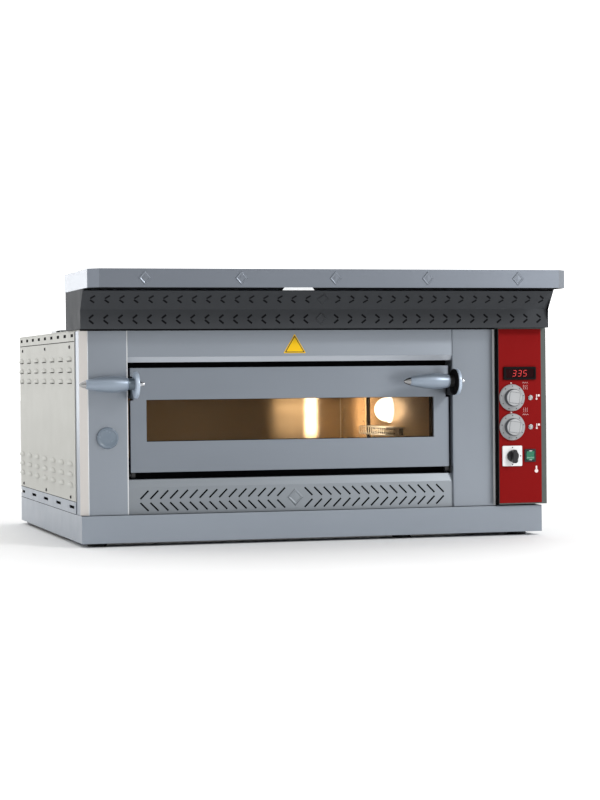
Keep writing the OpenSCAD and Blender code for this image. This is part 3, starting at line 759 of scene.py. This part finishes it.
def louvres():
    """Rows of scoops over the slots in both side panels and the rear panel."""
    hi = span("left_side_panel")[1]
    first, count = 135, 7
    pitch = (hi.y - 30 - first) / (count - 1)
    for side, sign in (("left", -1), ("right", 1)):
        bm = bmesh.new()
        for z in SIDE_LOUVRES:
            lip = z + 0.6 if z > 300 else z - 1.3
            for i in range(count):
                y = first + i * pitch
                add_louvre(bm, lambda a, b, d: at(sign * (HALF_W + d - 0.1), y + a, lip + b))
        louvre_sheet(side + "_louvres", bm)
    bm = bmesh.new()
    for x in range(-330, 331, 110):
        for z in REAR_LOUVRES:
            add_louvre(bm, lambda a, b, d: at(x + a, hi.y + d - 0.1, z - 0.6 + b))
    louvre_sheet("rear_louvres", bm)


def screw_heads():
    """Dark hexagon-washer screws, where the CAD has plain heads."""
    bm = bmesh.new()
    washer = [(0, 0), (4, 0), (4, 0.5), (3.6, 0.9), (0, 0.9)]
    head = [(0, 0.9), (3, 0.9), (3, 2.1), (2.4, 2.5), (0, 2.5)]
    spots = [(sign * HALF_W, y, z, (sign, 0, 0))
             for sign in (-1, 1) for y in (130, 460, 800) for z in SCREW_ZS]
    spots += [(x, PLINTH_BACK, z, (0, 1, 0)) for x in (-480, 0, 480) for z in SCREW_ZS]
    for x, y, z, out in spots:
        add_lathe(bm, washer, at(x, y, z), out, 24)
        add_lathe(bm, head, at(x, y, z), out, 6)
    piece(from_bmesh("screw_heads", bm, "dark_and_shade"), "casing", "dark_metal", "panel_screws")


# ---- controls ----


def heat_knob(body):
    """A dotted skirt with a low round grip and a squared pad; the node and the body share a name."""
    cx, cz, width, _ = front_view(body)
    r = width / 2
    face_y = span("control_plate")[0].y - 0.4
    origin, front = at(cx, face_y, cz), (0, -1, 0)
    skirt = [(0, 0), (r - 0.6, 0), (r, 0.6), (r, 3), (r - 0.8, 4), (r - 5, 5.4), (r - 7, 6.4),
             (0, 6.4)]
    piece(lathe(body + "_skirt", skirt, origin, front, "knob", 72, 50), body, "knob_grey", body)
    grip = [(0, 6), (19, 6), (18.6, 15.5), (18.1, 17.4), (17.4, 18), (0, 18)]
    # Painted shade: the grip's flank is a darker copy of the knob's grey
    piece(lathe(body + "_grip", grip, origin, front, "knob_painted_shade", 64, 40), body, "knob_grey")
    face = [(0, 17.6), (17.3, 17.6), (17.2, 18.2), (16.6, 18.45), (0, 18.45)]
    piece(lathe(body + "_face", face, origin, front, "knob_face", 64, 40), body, "knob_grey")
    pad_size, pad_turn, pad_y = 23, radians(8), face_y - 18.3
    s, c = sin(pad_turn), cos(pad_turn)
    square = rounded_rect(0, 0, pad_size, pad_size, 3)
    pad = [(cx + (x * c + z * s), cz + (z * c - x * s)) for x, z in square]
    obj = prism(body + "_pad", pad, facing(pad_y), 0.9, "knob_face", 0.45, 2)
    piece(obj, body, "knob_grey")
    rim = [(cx + (x - cx) * 1.07, cz + (z - cz) * 1.07) for x, z in pad]
    # Painted shade: a darker rim marks the groove around the pad
    obj = prism(body + "_pad_rim", rim, facing(pad_y), 0.25, "knob_painted_shade")
    piece(obj, body, "knob_grey")
    bm = bmesh.new()
    for i in range(9):
        t = radians(90 + 40 * i)
        dot = at(cx + (r - 4.2) * cos(t), face_y - 4.4, cz + (r - 4.2) * sin(t))
        add_lathe(bm, [(0, 0), (1.2, 0), (1.2, 1.1), (0, 1.1)], dot, front, 12)
    piece(from_bmesh(body + "_dots", bm, "black"), body, "black_plastic")


SEGMENTS = {"3": "abgcd", "5": "afgcd"}


def add_digit(bm, char, x, z, width, height, y):
    """One seven-segment digit, leaning a little to the right."""
    bar, lean = 0.8, 0.2
    half = height / 2
    ends = {
        "a": ((0, height), (width, height)), "g": ((0, half), (width, half)),
        "d": ((0, 0), (width, 0)), "f": ((0, half), (0, height)),
        "b": ((width, half), (width, height)), "c": ((width, 0), (width, half)),
    }
    for key in SEGMENTS[char]:
        (x0, z0), (x1, z1) = ends[key]
        d = Vector((x1 - x0, z1 - z0)).normalized()
        n = Vector((-d.y, d.x)) * bar / 2
        a, b = Vector((x0, z0)) + d * 0.9, Vector((x1, z1)) - d * 0.9
        shape = [a + n, a - d * 0.6, a - n, b - n, b + d * 0.6, b + n]
        outline = [(x + p.x + lean * p.y, z + p.y) for p in shape]
        add_prism(bm, outline, facing(y), 0.25)


def display():
    """A black bezel around a dark window with three red digits."""
    lo, hi = span("display")
    cx, cz, width, height = front_view("display")
    outer = rounded_rect(cx, cz, width, height, 2)
    inner = rounded_rect(cx, cz, width - 8, height - 8, 1)
    bm = bmesh.new()
    rings = [
        [bm.verts.new(at(x, hi.y, z)) for x, z in outer],
        [bm.verts.new(at(x, lo.y + 0.8, z)) for x, z in outer],
        [bm.verts.new(at(cx + (x - cx) * 0.98, lo.y, cz + (z - cz) * 0.96)) for x, z in outer],
        [bm.verts.new(at(x, lo.y, z)) for x, z in inner],
        [bm.verts.new(at(x, lo.y + 2.2, z)) for x, z in inner],
    ]
    capped(bm, rings)
    piece(from_bmesh("display_bezel", bm, "bezel"), "casing", "display_black", "display")
    film = prism("display_window", rounded_rect(cx, cz, width - 8.4, height - 8.4, 0.9),
                 facing(lo.y + 2.2), 0.6, "window_film", 0.2, 2)
    piece(film, "casing", "display_black")
    bm = bmesh.new()
    digit_width, digit_height, pitch = 6.8, 12.4, 12.2
    for i, char in enumerate("335"):
        x, z = cx - 17.2 + i * pitch, cz - digit_height / 2
        add_digit(bm, char, x, z, digit_width, digit_height, lo.y + 1.5)
    piece(from_bmesh("display_digits", bm, "digit"), "casing", "display_black")


def indicator_lamps():
    """Two small lenses in steel bezels."""
    lo, hi = span("indicator_lamps")
    r = (hi.x - lo.x) / 2
    rings, lenses = bmesh.new(), bmesh.new()
    rim = [(0, 0), (r, 0), (r, 1.4), (r - 0.8, 2.1), (r - 1.6, 1.6), (r - 1.6, 0.6), (0, 0.6)]
    for z in (lo.z + r, hi.z - r):
        origin = at((lo.x + hi.x) / 2, hi.y, z)
        add_lathe(rings, rim, origin, (0, -1, 0), 32)
        dome = [((r - 1.7) * cos(t), 1 + 2 * sin(t)) for t in (0, 0.3, 0.6, 0.9, 1.2)]
        add_lathe(lenses, [(0, 0.7)] + [(r - 1.7, 0.7)] + dome + [(0, 3)], origin, (0, -1, 0), 32)
    piece(from_bmesh("lamp_bezels", rings, "bright"), "casing", "lamp_lens", "indicator_lamps")
    piece(from_bmesh("lamp_lenses", lenses, "lens"), "casing", "lamp_lens")


def main_switch():
    """A white square plate with a thin border, and a black lever on a round boss."""
    lo, hi = span("switch_plate")
    cx, cz, width, height = front_view("switch_plate")
    plate = prism("switch_white_plate", rounded_rect(cx, cz, width, height, 2.5),
                  facing(hi.y), hi.y - lo.y, "white", 0.8)
    piece(plate, "casing", "switch_white", "switch_plate")
    bm = bmesh.new()
    for k in range(3):
        t = radians(90 - 90 * k)
        mark = rounded_rect(cx + 18.5 * cos(t), cz + 18.5 * sin(t), 2.4, 2.4, 0.6, 2)
        add_prism(bm, mark, facing(lo.y), 0.15)
    piece(from_bmesh("switch_marks", bm, "dark_and_shade"), "casing", "black_plastic")
    origin = at(cx, lo.y - 0.4, cz)
    boss = [(0, 0), (12.6, 0), (13, 0.5), (13, 4), (12, 6), (10.5, 6.6), (0, 6.6)]
    piece(lathe("switch_boss", boss, origin, (0, -1, 0), "black", 48, 40), "main_switch",
          "black_plastic", "main_switch_lever")
    bar = arc(cx, cz + 9.5, 4.6, 0, 180, 8) + arc(cx, cz - 9.5, 5.8, 180, 360, 8)
    lever = prism("switch_lever", bar, facing(lo.y - 6), 13, "black", 1.4)
    piece(lever, "main_switch", "black_plastic")


def light_switch():
    """A green rocker with a hollowed face in a black frame."""
    lo, hi = span("rocker_frame")
    cx, cz, width, height = front_view("rocker_frame")
    outer = rounded_rect(cx, cz, width, height, 2)
    key_width = 18
    inner = rounded_rect(cx, cz, key_width + 1, 21, 0.8)
    bm = bmesh.new()
    rings = [
        [bm.verts.new(at(x, hi.y, z)) for x, z in outer],
        [bm.verts.new(at(x, lo.y + 0.9, z)) for x, z in outer],
        [bm.verts.new(at(cx + (x - cx) * 0.93, lo.y, cz + (z - cz) * 0.93)) for x, z in outer],
        [bm.verts.new(at(x, lo.y, z)) for x, z in inner],
        [bm.verts.new(at(x, hi.y + 8, z)) for x, z in inner],
    ]
    bridge(bm, rings)
    piece(from_bmesh("rocker_surround", bm, "black"), "casing", "black_plastic", "rocker_frame")
    rlo, rhi = span("light_rocker")
    rz = (rlo.z + rhi.z) / 2
    half = (rhi.z - rlo.z) / 2
    steps = [-1 + 2 * i / 12 for i in range(13)]
    face = [(rlo.y + 1.6 * cos(pi * t / 2) ** 2, rz + half * t) for t in steps]
    outline = [(rhi.y - 3, rz - half), *face, (rhi.y - 3, rz + half)]
    rocker = prism("rocker_key", outline, sideways(cx - key_width / 2), key_width, "green", 0.5)
    piece(rocker, "light_switch", "rocker_green", "light_rocker")


def plate_marks():
    """Plain printed marks: heat waves, thermometers, a bulb and pointer dots, without lettering."""
    on_plate = facing(span("control_plate")[0].y + 0.1)
    waves_x, gauge_x, bulb_x, dot_x = 465.1, 491, 489.4, 432.5
    bm = bmesh.new()

    def dot(x, z, radius, steps):
        add_prism(bm, arc(x, z, radius, 0, 360, steps)[:-1], on_plate, 0.25)

    def bar(x, z, width, height, radius):
        add_prism(bm, rounded_rect(x, z, width, height, radius, 3), on_plate, 0.25)

    for cz, side in ((312.9, 1), (263.6, -1)):
        for k in (-1, 0, 1):
            x = waves_x + 4.2 * k
            steps = [i / 10 for i in range(11)]
            curve = [(x + 1.2 * (t - 0.5) + 0.9 * sin(pi * t * 2), cz - 4.6 + 9.2 * t)
                     for t in steps]
            wire(bm, [on_plate(*p, 0) for p in curve], 0.3, 6)
        zig = [(waves_x - 6.3 + 12.6 * t / 6, cz + side * 9.7 + (1.2 if t % 2 else -1.2))
               for t in range(7)]
        wire(bm, [on_plate(*p, 0) for p in zig], 0.38, 6)
    for z in (290.5, 227.3):
        dot(gauge_x, z - 3.2, 2.2, 14)
        bar(gauge_x, z + 2.2, 1.8, 9, 0.8)
        bar(gauge_x + 5, z + 4.2, 5, 4.4, 0.8)
    dot(bulb_x, 131.5, 4.1, 20)
    bar(bulb_x, 138.5, 3.6, 8, 1.0)
    for z in (322, 258.6):
        dot(dot_x, z, 1.6, 12)
    piece(from_bmesh("plate_marks", bm, "mark"), "casing", "red_plate")


def blank_sign():
    """A blank yellow triangle with a thin dark line near its edge."""
    lo, hi = span("triangle_plate")
    cx, _, width, height = front_view("triangle_plate")

    def triangle(scale):
        mid = lo.z + height / 3
        points = [(cx - width / 2, lo.z), (cx + width / 2, lo.z), (cx, hi.z)]
        points = [(cx + (x - cx) * scale, mid + (z - mid) * scale) for x, z in points]
        ring = rounded_path([points[0], *points[1:], points[0], points[1]], 1.2, 3)
        return ring[1:-1]

    plate = prism("sign_plate", triangle(1.0), facing(hi.y), 0.5, "yellow")
    piece(plate, "casing", "sign_yellow", "triangle_plate")
    for name, scale, raised, look in (("line", 0.88, 0.5, "dark_and_shade"), ("face", 0.76, 0.7, "yellow")):
        obj = prism("sign_" + name, triangle(scale), facing(hi.y - raised), 0.2, look)
        piece(obj, "casing", "sign_yellow")


def steam_knob():
    """The round push knob on the left post, with a raised rim."""
    cx, cz, width, _ = front_view("steam_knob")
    r = width / 2
    base = 12.5
    reach = span("steam_knob")[1].y - base
    profile = [(0, 0), (r - 0.5, 0), (r, 0.6), (r, 4.6), (r - 0.7, 6.6), (r - 2, 7.7), (r - 3.2, 8),
               (r - 4.4, 7.5), (r - 5.2, 6.8), (r - 6.5, 6.5), (6, 6.9), (0, 7)]
    knob = lathe("steam_knob_head", profile, at(cx, base, cz), (0, -1, 0), "vent", 64, 60)
    piece(knob, "steam_slide", "vent_knob", "steam_knob")
    outline = [(0, 0), (3.6, 0), (4, 0.5), (4, reach - 0.5), (3.5, reach), (0, reach)]
    rod = lathe("steam_rod", outline, at(cx, base, cz), (0, 1, 0), "bright", 24)
    piece(rod, "steam_slide", "galvanised")


# ---- chamber ----


def chamber_details():
    """Wall joints: a dark strip as a painted shadow, a bright fold with a painted highlight, and rivets
    on the right wall, a fold at its rear.
    """
    wall_x = span("chamber_right_wall")[0].x
    floor_z, top_z = span("stone_deck")[1].z, span("chamber_ceiling")[0].z
    rear_y = span("chamber_rear_wall")[0].y
    middle, height = (floor_z + top_z) / 2, top_z - floor_z - 2
    fold_y, strip_y = 597, 580
    on_wall = sideways(wall_x, -1)
    # Painted highlight: the fold is a lighter steel than the wall
    fold = rounded_rect(fold_y, middle, 7, height, 1.5, 3)
    piece(prism("wall_fold", fold, on_wall, 1.6, "guard", 0.6, 2), "casing", "guard_steel")
    # Painted shadow: a dark strip beside the fold
    strip = rounded_rect(strip_y, middle, 26, height, 1, 2)
    piece(prism("wall_strip", strip, on_wall, 0.5, "dark_tone", 0.2, 1), "casing", "chamber_steel")
    corner = rounded_rect(wall_x - 5, middle, 3, height, 1, 3)
    obj = prism("corner_fold", corner, facing(rear_y), 1.6, "guard", 0.6, 2)
    piece(obj, "casing", "guard_steel")
    rivets = bmesh.new()
    rivet = [(0, 0), (2.6, 0), (2.3, 1.0), (1.2, 1.6), (0, 1.8)]
    for y in (621, 776):
        for z in (204, 231, 258, 285):
            add_lathe(rivets, rivet, at(wall_x, y, z), (-1, 0, 0), 16)
    piece(from_bmesh("wall_rivets", rivets, "guard"), "casing", "guard_steel")


def linings():
    """Dull black sheets behind the pierced hood and fascia and a black strip on the housing's left side,
    all painted shade; a seal, and the window's lining.
    """
    lo, hi = span("hood_shell")
    y = lo.y + HOOD_FLARE + 6
    path = [(y, lo.z + 2), (y, lo.z + HOOD_LOW_FACET + 2), (lo.y + 9, hi.z - 4)]
    obj = folded_sheet("hood_liner", path, 0.6, 2, sideways(lo.x + 4), hi.x - lo.x - 8, "black_and_shade")
    piece(obj, "casing", "hood_paint")
    lo, hi = span("lower_fascia")
    slots_top = 112
    sheet = rounded_rect((lo.x + hi.x) / 2, (lo.z + slots_top) / 2 + 1, hi.x - lo.x - 4, 50, 1)
    piece(prism("fascia_liner", sheet, facing(lo.y + 6), 0.6, "black_and_shade"), "casing", "lower_steel")
    lo, hi = span("control_housing")
    edge_z = span("top_cover")[0].z
    end = hi.x - 0.5
    seal = edged_rect(2 - HALF_W, end, edge_z - 0.6, edge_z + 2.2, 0.6)
    piece(prism("hood_seal", seal, facing(13.4), 0.9, "seal"), "casing", "dark_metal")
    strip = edged_rect(lo.y, 10, lo.z, hi.z, 0.8)
    # Painted shade: a black strip on the control housing's left side
    piece(prism("housing_side_shade", strip, sideways(lo.x - 0.5), 0.6, "black_and_shade"), "casing", "dark_metal")
    lo, hi = span("door_glass")
    cx, cz, width, height = front_view("door_glass")
    bead = 9
    width, height = width - 2 * bead, height - 2 * bead
    outer = rounded_rect(cx, cz, width + 1, height + 1, 0.6, 2)
    inner = rounded_rect(cx, cz, width - 0.8, height - 0.8, 0.6, 2)
    front, back = lo.y + 4.2, hi.y - 4.2
    bm = bmesh.new()
    rings = [[bm.verts.new(at(x, y, z)) for x, z in loop] for loop, y in
             ((outer, front), (inner, front), (inner, back), (outer, back))]
    rings.append(rings[0])
    bridge(bm, rings)
    piece(from_bmesh("window_lining", bm, "black_and_shade"), "door", "dark_metal")


def cover_tray():
    """A zinc tray on the top cover beside the flue box, with a black plate at its left front as painted
    shade for a gap there.
    """
    base = span("top_cover")[1].z - 5
    x0, x1, y0, y1 = -502, -120, 262, 384
    outline = edged_rect(x0 - 0.4, x1 + 0.4, y0 - 0.4, y1 + 0.4, 2, 3)
    tray = prism("cover_tray", outline, level(base), 4.9, "zinc", 0.5, 2)
    piece(tray, "casing", "galvanised")
    mouth = rounded_rect(290, base + 2.4, 48, 3.4, 1, 2)
    piece(prism("tray_mouth", mouth, sideways(x0 - 0.1, -1), 0.6, "black_and_shade"), "casing", "dark_metal")


def seams():
    """Dark joints along the side panels' edges, and dark liners behind the pierced rails as painted
    shade.
    """
    bm = bmesh.new()
    for side in ("left", "right"):
        for rail in ("_top_rail", "_bottom_rail"):
            lo, hi = span(side + rail)
            inner = lo.x + 5 if side == "left" else hi.x - 5
            strip = edged_rect(lo.y + 3, hi.y - 3, lo.z + 1.5, hi.z - 1.5, 1)
            add_prism(bm, strip, sideways(inner - 0.3), 0.6)
    lo, hi = span("left_side_panel")
    start = lo.y + 1
    for sign in (-1, 1):
        for z, height in ((hi.z, 1.6), (lo.z, 1.2), (PLINTH_TOP, 1.0)):
            strip = edged_rect(start, hi.y, z - height / 2, z + height / 2, 0.4)
            add_prism(bm, strip, sideways(sign * (HALF_W - 0.4), sign), 0.55)
    piece(from_bmesh("panel_seams", bm, "black_and_shade"), "casing", "dark_metal")


def probe_basket():
    """A wire basket over the temperature probe, sloping back to the wall at its near end."""
    lo, hi = span("probe_guard")
    x, wall = lo.x + 1, hi.x
    near, far = lo.y, hi.y
    z0, z1 = lo.z + 0.8, hi.z - 0.8
    slant, count = 48, 19
    bm = bmesh.new()

    def bar(points, radius):
        wire(bm, [at(*p) for p in points], radius)

    for z in (z0, z1):
        bar([(wall, near + slant, z), (x + 1, near + 2, z), (x, near + 6, z), (x, far - 2, z),
             (x + 2, far, z), (wall, far, z)], 1.1)
    for i in range(count):
        y = near + 6 + (far - near - 8) * i / (count - 1)
        bar([(wall, y + 1, z1 + 0.4), (x + 1, y, z1 + 0.3), (x - 0.2, y, z1 - 1),
             (x - 0.2, y, z0 + 1), (x + 1, y, z0 - 0.3), (wall, y + 1, z0 - 0.4)], 1.1)
    for i in range(1, 5):
        t = i / 5
        y, px = near + 2 + (slant - 2) * t, x + 1 + (wall - x - 1) * t
        bar([(px, y, z0), (px, y, z1)], 0.85)
    piece(from_bmesh("probe_basket", bm, "basket"), "casing", "guard_steel", "probe_guard")
    rivet = [(0, 0), (3.2, 0), (3.0, 2), (1.8, 3), (0, 3.2)]
    feet = bmesh.new()
    for y in (near + 70, far - 20):
        add_lathe(feet, rivet, at(wall, y, z0 - 6), (-1, 0, 0), 16)
    piece(from_bmesh("basket_rivets", feet, "guard"), "casing", "guard_steel")


def post_edges():
    """Pale strips on both posts' folds as painted highlights, and a lighter slanting corner on the left
    one as a painted reflection.
    """
    lo, hi = span("left_post")
    right = span("right_post")[1].x
    tall, middle = hi.z - lo.z - 1, (lo.z + hi.z) / 2
    # Painted highlights: pale strips along the folds stand in for the light they catch
    for name, x, width in (("left_post_edge", hi.x - 1.1, 2.2), ("right_post_edge", right - 2.4, 4.4),
                           ("left_post_fold", lo.x + POST_CORNER + 0.5, 2.0)):
        edge = rounded_rect(x, middle, width, tall, 0.9, 3)
        obj = prism(name, edge, facing(lo.y + 0.4), 0.7, "painted_sheen", 0.3, 2)
        piece(obj, "casing", "stainless")
    # Painted reflection: the sloping corner is a lighter steel than the rest of the post
    out, inward, reach = 0.15, 0.6, POST_CORNER - 0.1
    corner = [(lo.x - out, lo.y + reach), (lo.x + reach, lo.y - out),
              (lo.x + POST_CORNER + inward, lo.y + inward), (lo.x + inward, lo.y + POST_CORNER + inward)]
    obj = prism("left_post_corner", corner, level(lo.z + 0.5), tall, "corner")
    piece(obj, "casing", "stainless")


def hood_slots():
    """Dark fillings of the chevron slots in both facets of the hood, as painted shade inside the slots.
    """
    lo, hi = span("hood_shell")
    face_y, fold_z = lo.y + HOOD_FLARE, lo.z + HOOD_LOW_FACET
    rise = hi.z - fold_z
    slant = hypot(HOOD_FLARE, rise)
    s, c = HOOD_FLARE / slant, rise / slant
    first, pitch = 33, 30.3

    def upper(a, b, d):
        return at(a, face_y - b * s + d * c, fold_z + b * c + d * s)

    def lower(a, b, d):
        return at(a, face_y + d, lo.z + b)

    bm = bmesh.new()
    for facet, height in ((upper, slant), (lower, HOOD_LOW_FACET)):
        for side in (-1, 1):
            for i in range(16):
                for up in (-1, 1):
                    x, z = side * (first + pitch * i), height / 2 + up * 5.4
                    slot = turned_bar(x, z, 11.8, 3.7, -side * up * 38)
                    add_prism(bm, slot, lambda a, b, d: facet(a, b, d - SKIN), 0.9)
    piece(from_bmesh("hood_slot_fills", bm, "black_and_shade"), "casing", "hood_paint")


def fascia_lip():
    """A lighter band along the slanting lower edge of the upper fascia: a painted reflection of the
    floor.
    """
    lo, hi = span("upper_fascia")
    fold_z = 384
    top, bottom = (lo.y, fold_z), (lo.y + 8, lo.z)
    length = hypot(bottom[0] - top[0], top[1] - bottom[1])
    out = (-(top[1] - bottom[1]) / length, -(bottom[0] - top[0]) / length)
    outline = [(p[0] + k * out[0], p[1] + k * out[1]) for p, k in
               ((top, 0.05), (bottom, 0.05), (bottom, 0.3), (top, 0.3))]
    lip = prism("fascia_lip", outline, sideways(lo.x + 0.5), hi.x - lo.x - 1, "lip")
    piece(lip, "casing", "stainless")


def turned_bar(cx, cz, length, width, degrees):
    """Corners of a bar turned about its middle."""
    t = radians(degrees)
    corners = ((-1, -1), (1, -1), (1, 1), (-1, 1))
    return [(cx + a * length / 2 * cos(t) - b * width / 2 * sin(t),
             cz + a * length / 2 * sin(t) + b * width / 2 * cos(t)) for a, b in corners]


def fascia_slots():
    """Dark fillings of the slots in the lower fascia, as painted shade inside the slots."""
    first, pitch = 30, 21
    bm = bmesh.new()
    for side in (-1, 1):
        for i in range(15):
            for up in (-1, 1):
                x, z = FASCIA_X + side * (first + pitch * i), FASCIA_Z + up * 12.5
                slot = turned_bar(x, z, 24.4, 3.5, -side * up * 45)
                add_prism(bm, slot, facing(FASCIA_FACE - SKIN, -1), 0.9)
    piece(from_bmesh("fascia_slot_fills", bm, "black_and_shade"), "casing", "lower_steel")


def rail_holes():
    """Dark fillings of the slots in both upper rails, as painted shade inside the slots."""
    first, last = 100, span("left_top_rail")[1].y - 30
    count, z = 9, 430.5
    bm = bmesh.new()
    for sign in (-1, 1):
        for i in range(count):
            hole = turned_bar(first + i * (last - first) / (count - 1), z, 30.6, 6.6, 0)
            add_prism(bm, hole, sideways(sign * (HALF_W + SKIN), -sign), 0.9)
    piece(from_bmesh("rail_hole_fills", bm, "black_and_shade"), "casing", "cream_paint")


def hood_closer():
    """A strip that closes the joint between the hood and the control housing."""
    lo, hi = span("control_housing")
    thick = span("hood_shell")[0].z - hi.z
    sheet = edged_rect(lo.x + 0.1, hi.x - 0.1, lo.y + 0.1, hi.y - 0.1, 1)
    obj = prism("hood_closer", sheet, level(hi.z - 0.1), thick + 0.1, "housing")
    piece(obj, "casing", "housing_paint")


def basket_back():
    """A darker patch of wall behind the probe's basket."""
    lo, hi = span("probe_guard")
    patch = edged_rect(lo.y + 22, hi.y - 2, lo.z + 0.5, hi.z - 0.5, 1)
    piece(prism("basket_back", patch, sideways(hi.x, -1), 0.5, "dark_tone", 0.2, 1),
          "casing", "chamber_steel")


# ---- stage, light and camera ----


def stage():
    """A wide level floor."""
    half = 30.0
    bm = bmesh.new()
    corners = ((-half, -half), (half, -half), (half, half), (-half, half))
    bm.faces.new([bm.verts.new((x, y, 0)) for x, y in corners])
    from_bmesh("floor", bm, "floor")


def world():
    """Soft studio light: a white backdrop and top, dimmer from the left and from the front."""
    studio = bpy.data.worlds.new("studio")
    studio.use_nodes = True
    bpy.context.scene.world = studio
    tree = studio.node_tree
    coords = add_node(tree, "TexCoord").outputs["Generated"]
    split = add_node(tree, "SeparateXYZ", Vector=coords)
    total = 0.43
    for axis, start, end, value in (("X", 0.08, 0.75, 0.6), ("X", -0.55, -0.98, 0.75),
                                    ("Y", 0.2, 0.9, 0.9), ("Z", 0.25, 0.9, 0.6)):
        ramp = add_node(tree, "MapRange", Value=split.outputs[axis], From_Min=start, From_Max=end,
                        To_Min=0, To_Max=value)
        ramp.interpolation_type = "SMOOTHSTEP"
        add = add_node(tree, "Math")
        add.operation = "ADD"
        tree.links.new(ramp.outputs["Result"], add.inputs[0])
        if isinstance(total, float):
            add.inputs[1].default_value = total
        else:
            tree.links.new(total, add.inputs[1])
        total = add.outputs["Value"]
    background = tree.nodes["Background"]
    tree.links.new(total, background.inputs["Strength"])
    background.inputs["Color"].default_value = (1, 1, 1, 1)


def area_light(name, position, target, size, watts, color=(1, 1, 1), spread=180):
    """A rectangular light that the camera doesn't see."""
    data = bpy.data.lights.new(name, "AREA")
    data.shape = "RECTANGLE"
    data.size, data.size_y = size
    data.energy = watts
    data.color = color
    data.spread = radians(spread)
    obj = bpy.data.objects.new(name, data)
    bpy.context.scene.collection.objects.link(obj)
    obj.location = position
    obj.rotation_euler = (Vector(target) - Vector(position)).to_track_quat("-Z", "Y").to_euler()
    obj.visible_camera = False


def lights():
    """A key from the right, a glance along the left side, and small warm lights in the chamber."""
    area_light("right_key", (2.5, -3.7, 2.4), (0.2, 0, 0.3), (0.8, 0.8), 76)
    area_light("left_glance", (-1.7, 4.2, 0.7), (-0.5, 0, 0.4), (1.2, 1.2), 11)
    warm, pale = (1.0, 0.87, 0.70), (1.0, 0.95, 0.88)
    ceiling = at(-90, 360, span("chamber_ceiling")[0].z - 4)
    area_light("ceiling_glow", ceiling, ceiling - Vector((0, 0, 0.1)), (0.5, 0.4), 0.45, warm)
    mid_z = front_view("lamp_glass")[1]
    for name, x, y, size, watts, color in (("wall_streak", 222, 755, (0.03, 0.14), 0.07, pale),
                                           ("wall_haze", 196, 660, (0.09, 0.12), 0.03, warm)):
        area_light(name, at(x, y, mid_z), at(x, y + 100, mid_z), size, watts, color, 70)
    basket = at(262, 430, 212)
    source = basket + Vector((-0.09, -0.10, 0.05))
    area_light("basket_glow", source, basket, (0.05, 0.05), 0.12, warm, 80)


def camera():
    """Low, from the left of the door's middle, with a long lens."""
    yaw, pitch, roll = radians(15.43), radians(0.61), radians(-0.54)
    data = bpy.data.cameras.new("camera")
    data.lens = 100.5
    data.sensor_width = 36
    data.clip_end = 200
    obj = bpy.data.objects.new("camera", data)
    bpy.context.scene.collection.objects.link(obj)
    turn = Matrix.Rotation(-yaw, 4, "Z") @ Matrix.Rotation(pi / 2 - pitch, 4, "X")
    turn = turn @ Matrix.Rotation(roll, 4, "Z")
    obj.matrix_world = Matrix.Translation(at(-1290.4, -4537.3, 341.1)) @ turn
    bpy.context.scene.camera = obj


bpy.context.scene.view_settings.view_transform = "Standard"
camera()
stage()
world()
lights()
dress_nodes()
posts()
handle("left")
handle("right")
handle_arms()
cap_tab()
louvres()
screw_heads()
heat_knob("top_heat_knob")
heat_knob("bottom_heat_knob")
display()
indicator_lamps()
main_switch()
light_switch()
plate_marks()
blank_sign()
steam_knob()
chamber_details()
probe_basket()
linings()
seams()
cover_tray()
post_edges()
hood_slots()
fascia_slots()
rail_holes()
fascia_lip()
hood_closer()
basket_back()
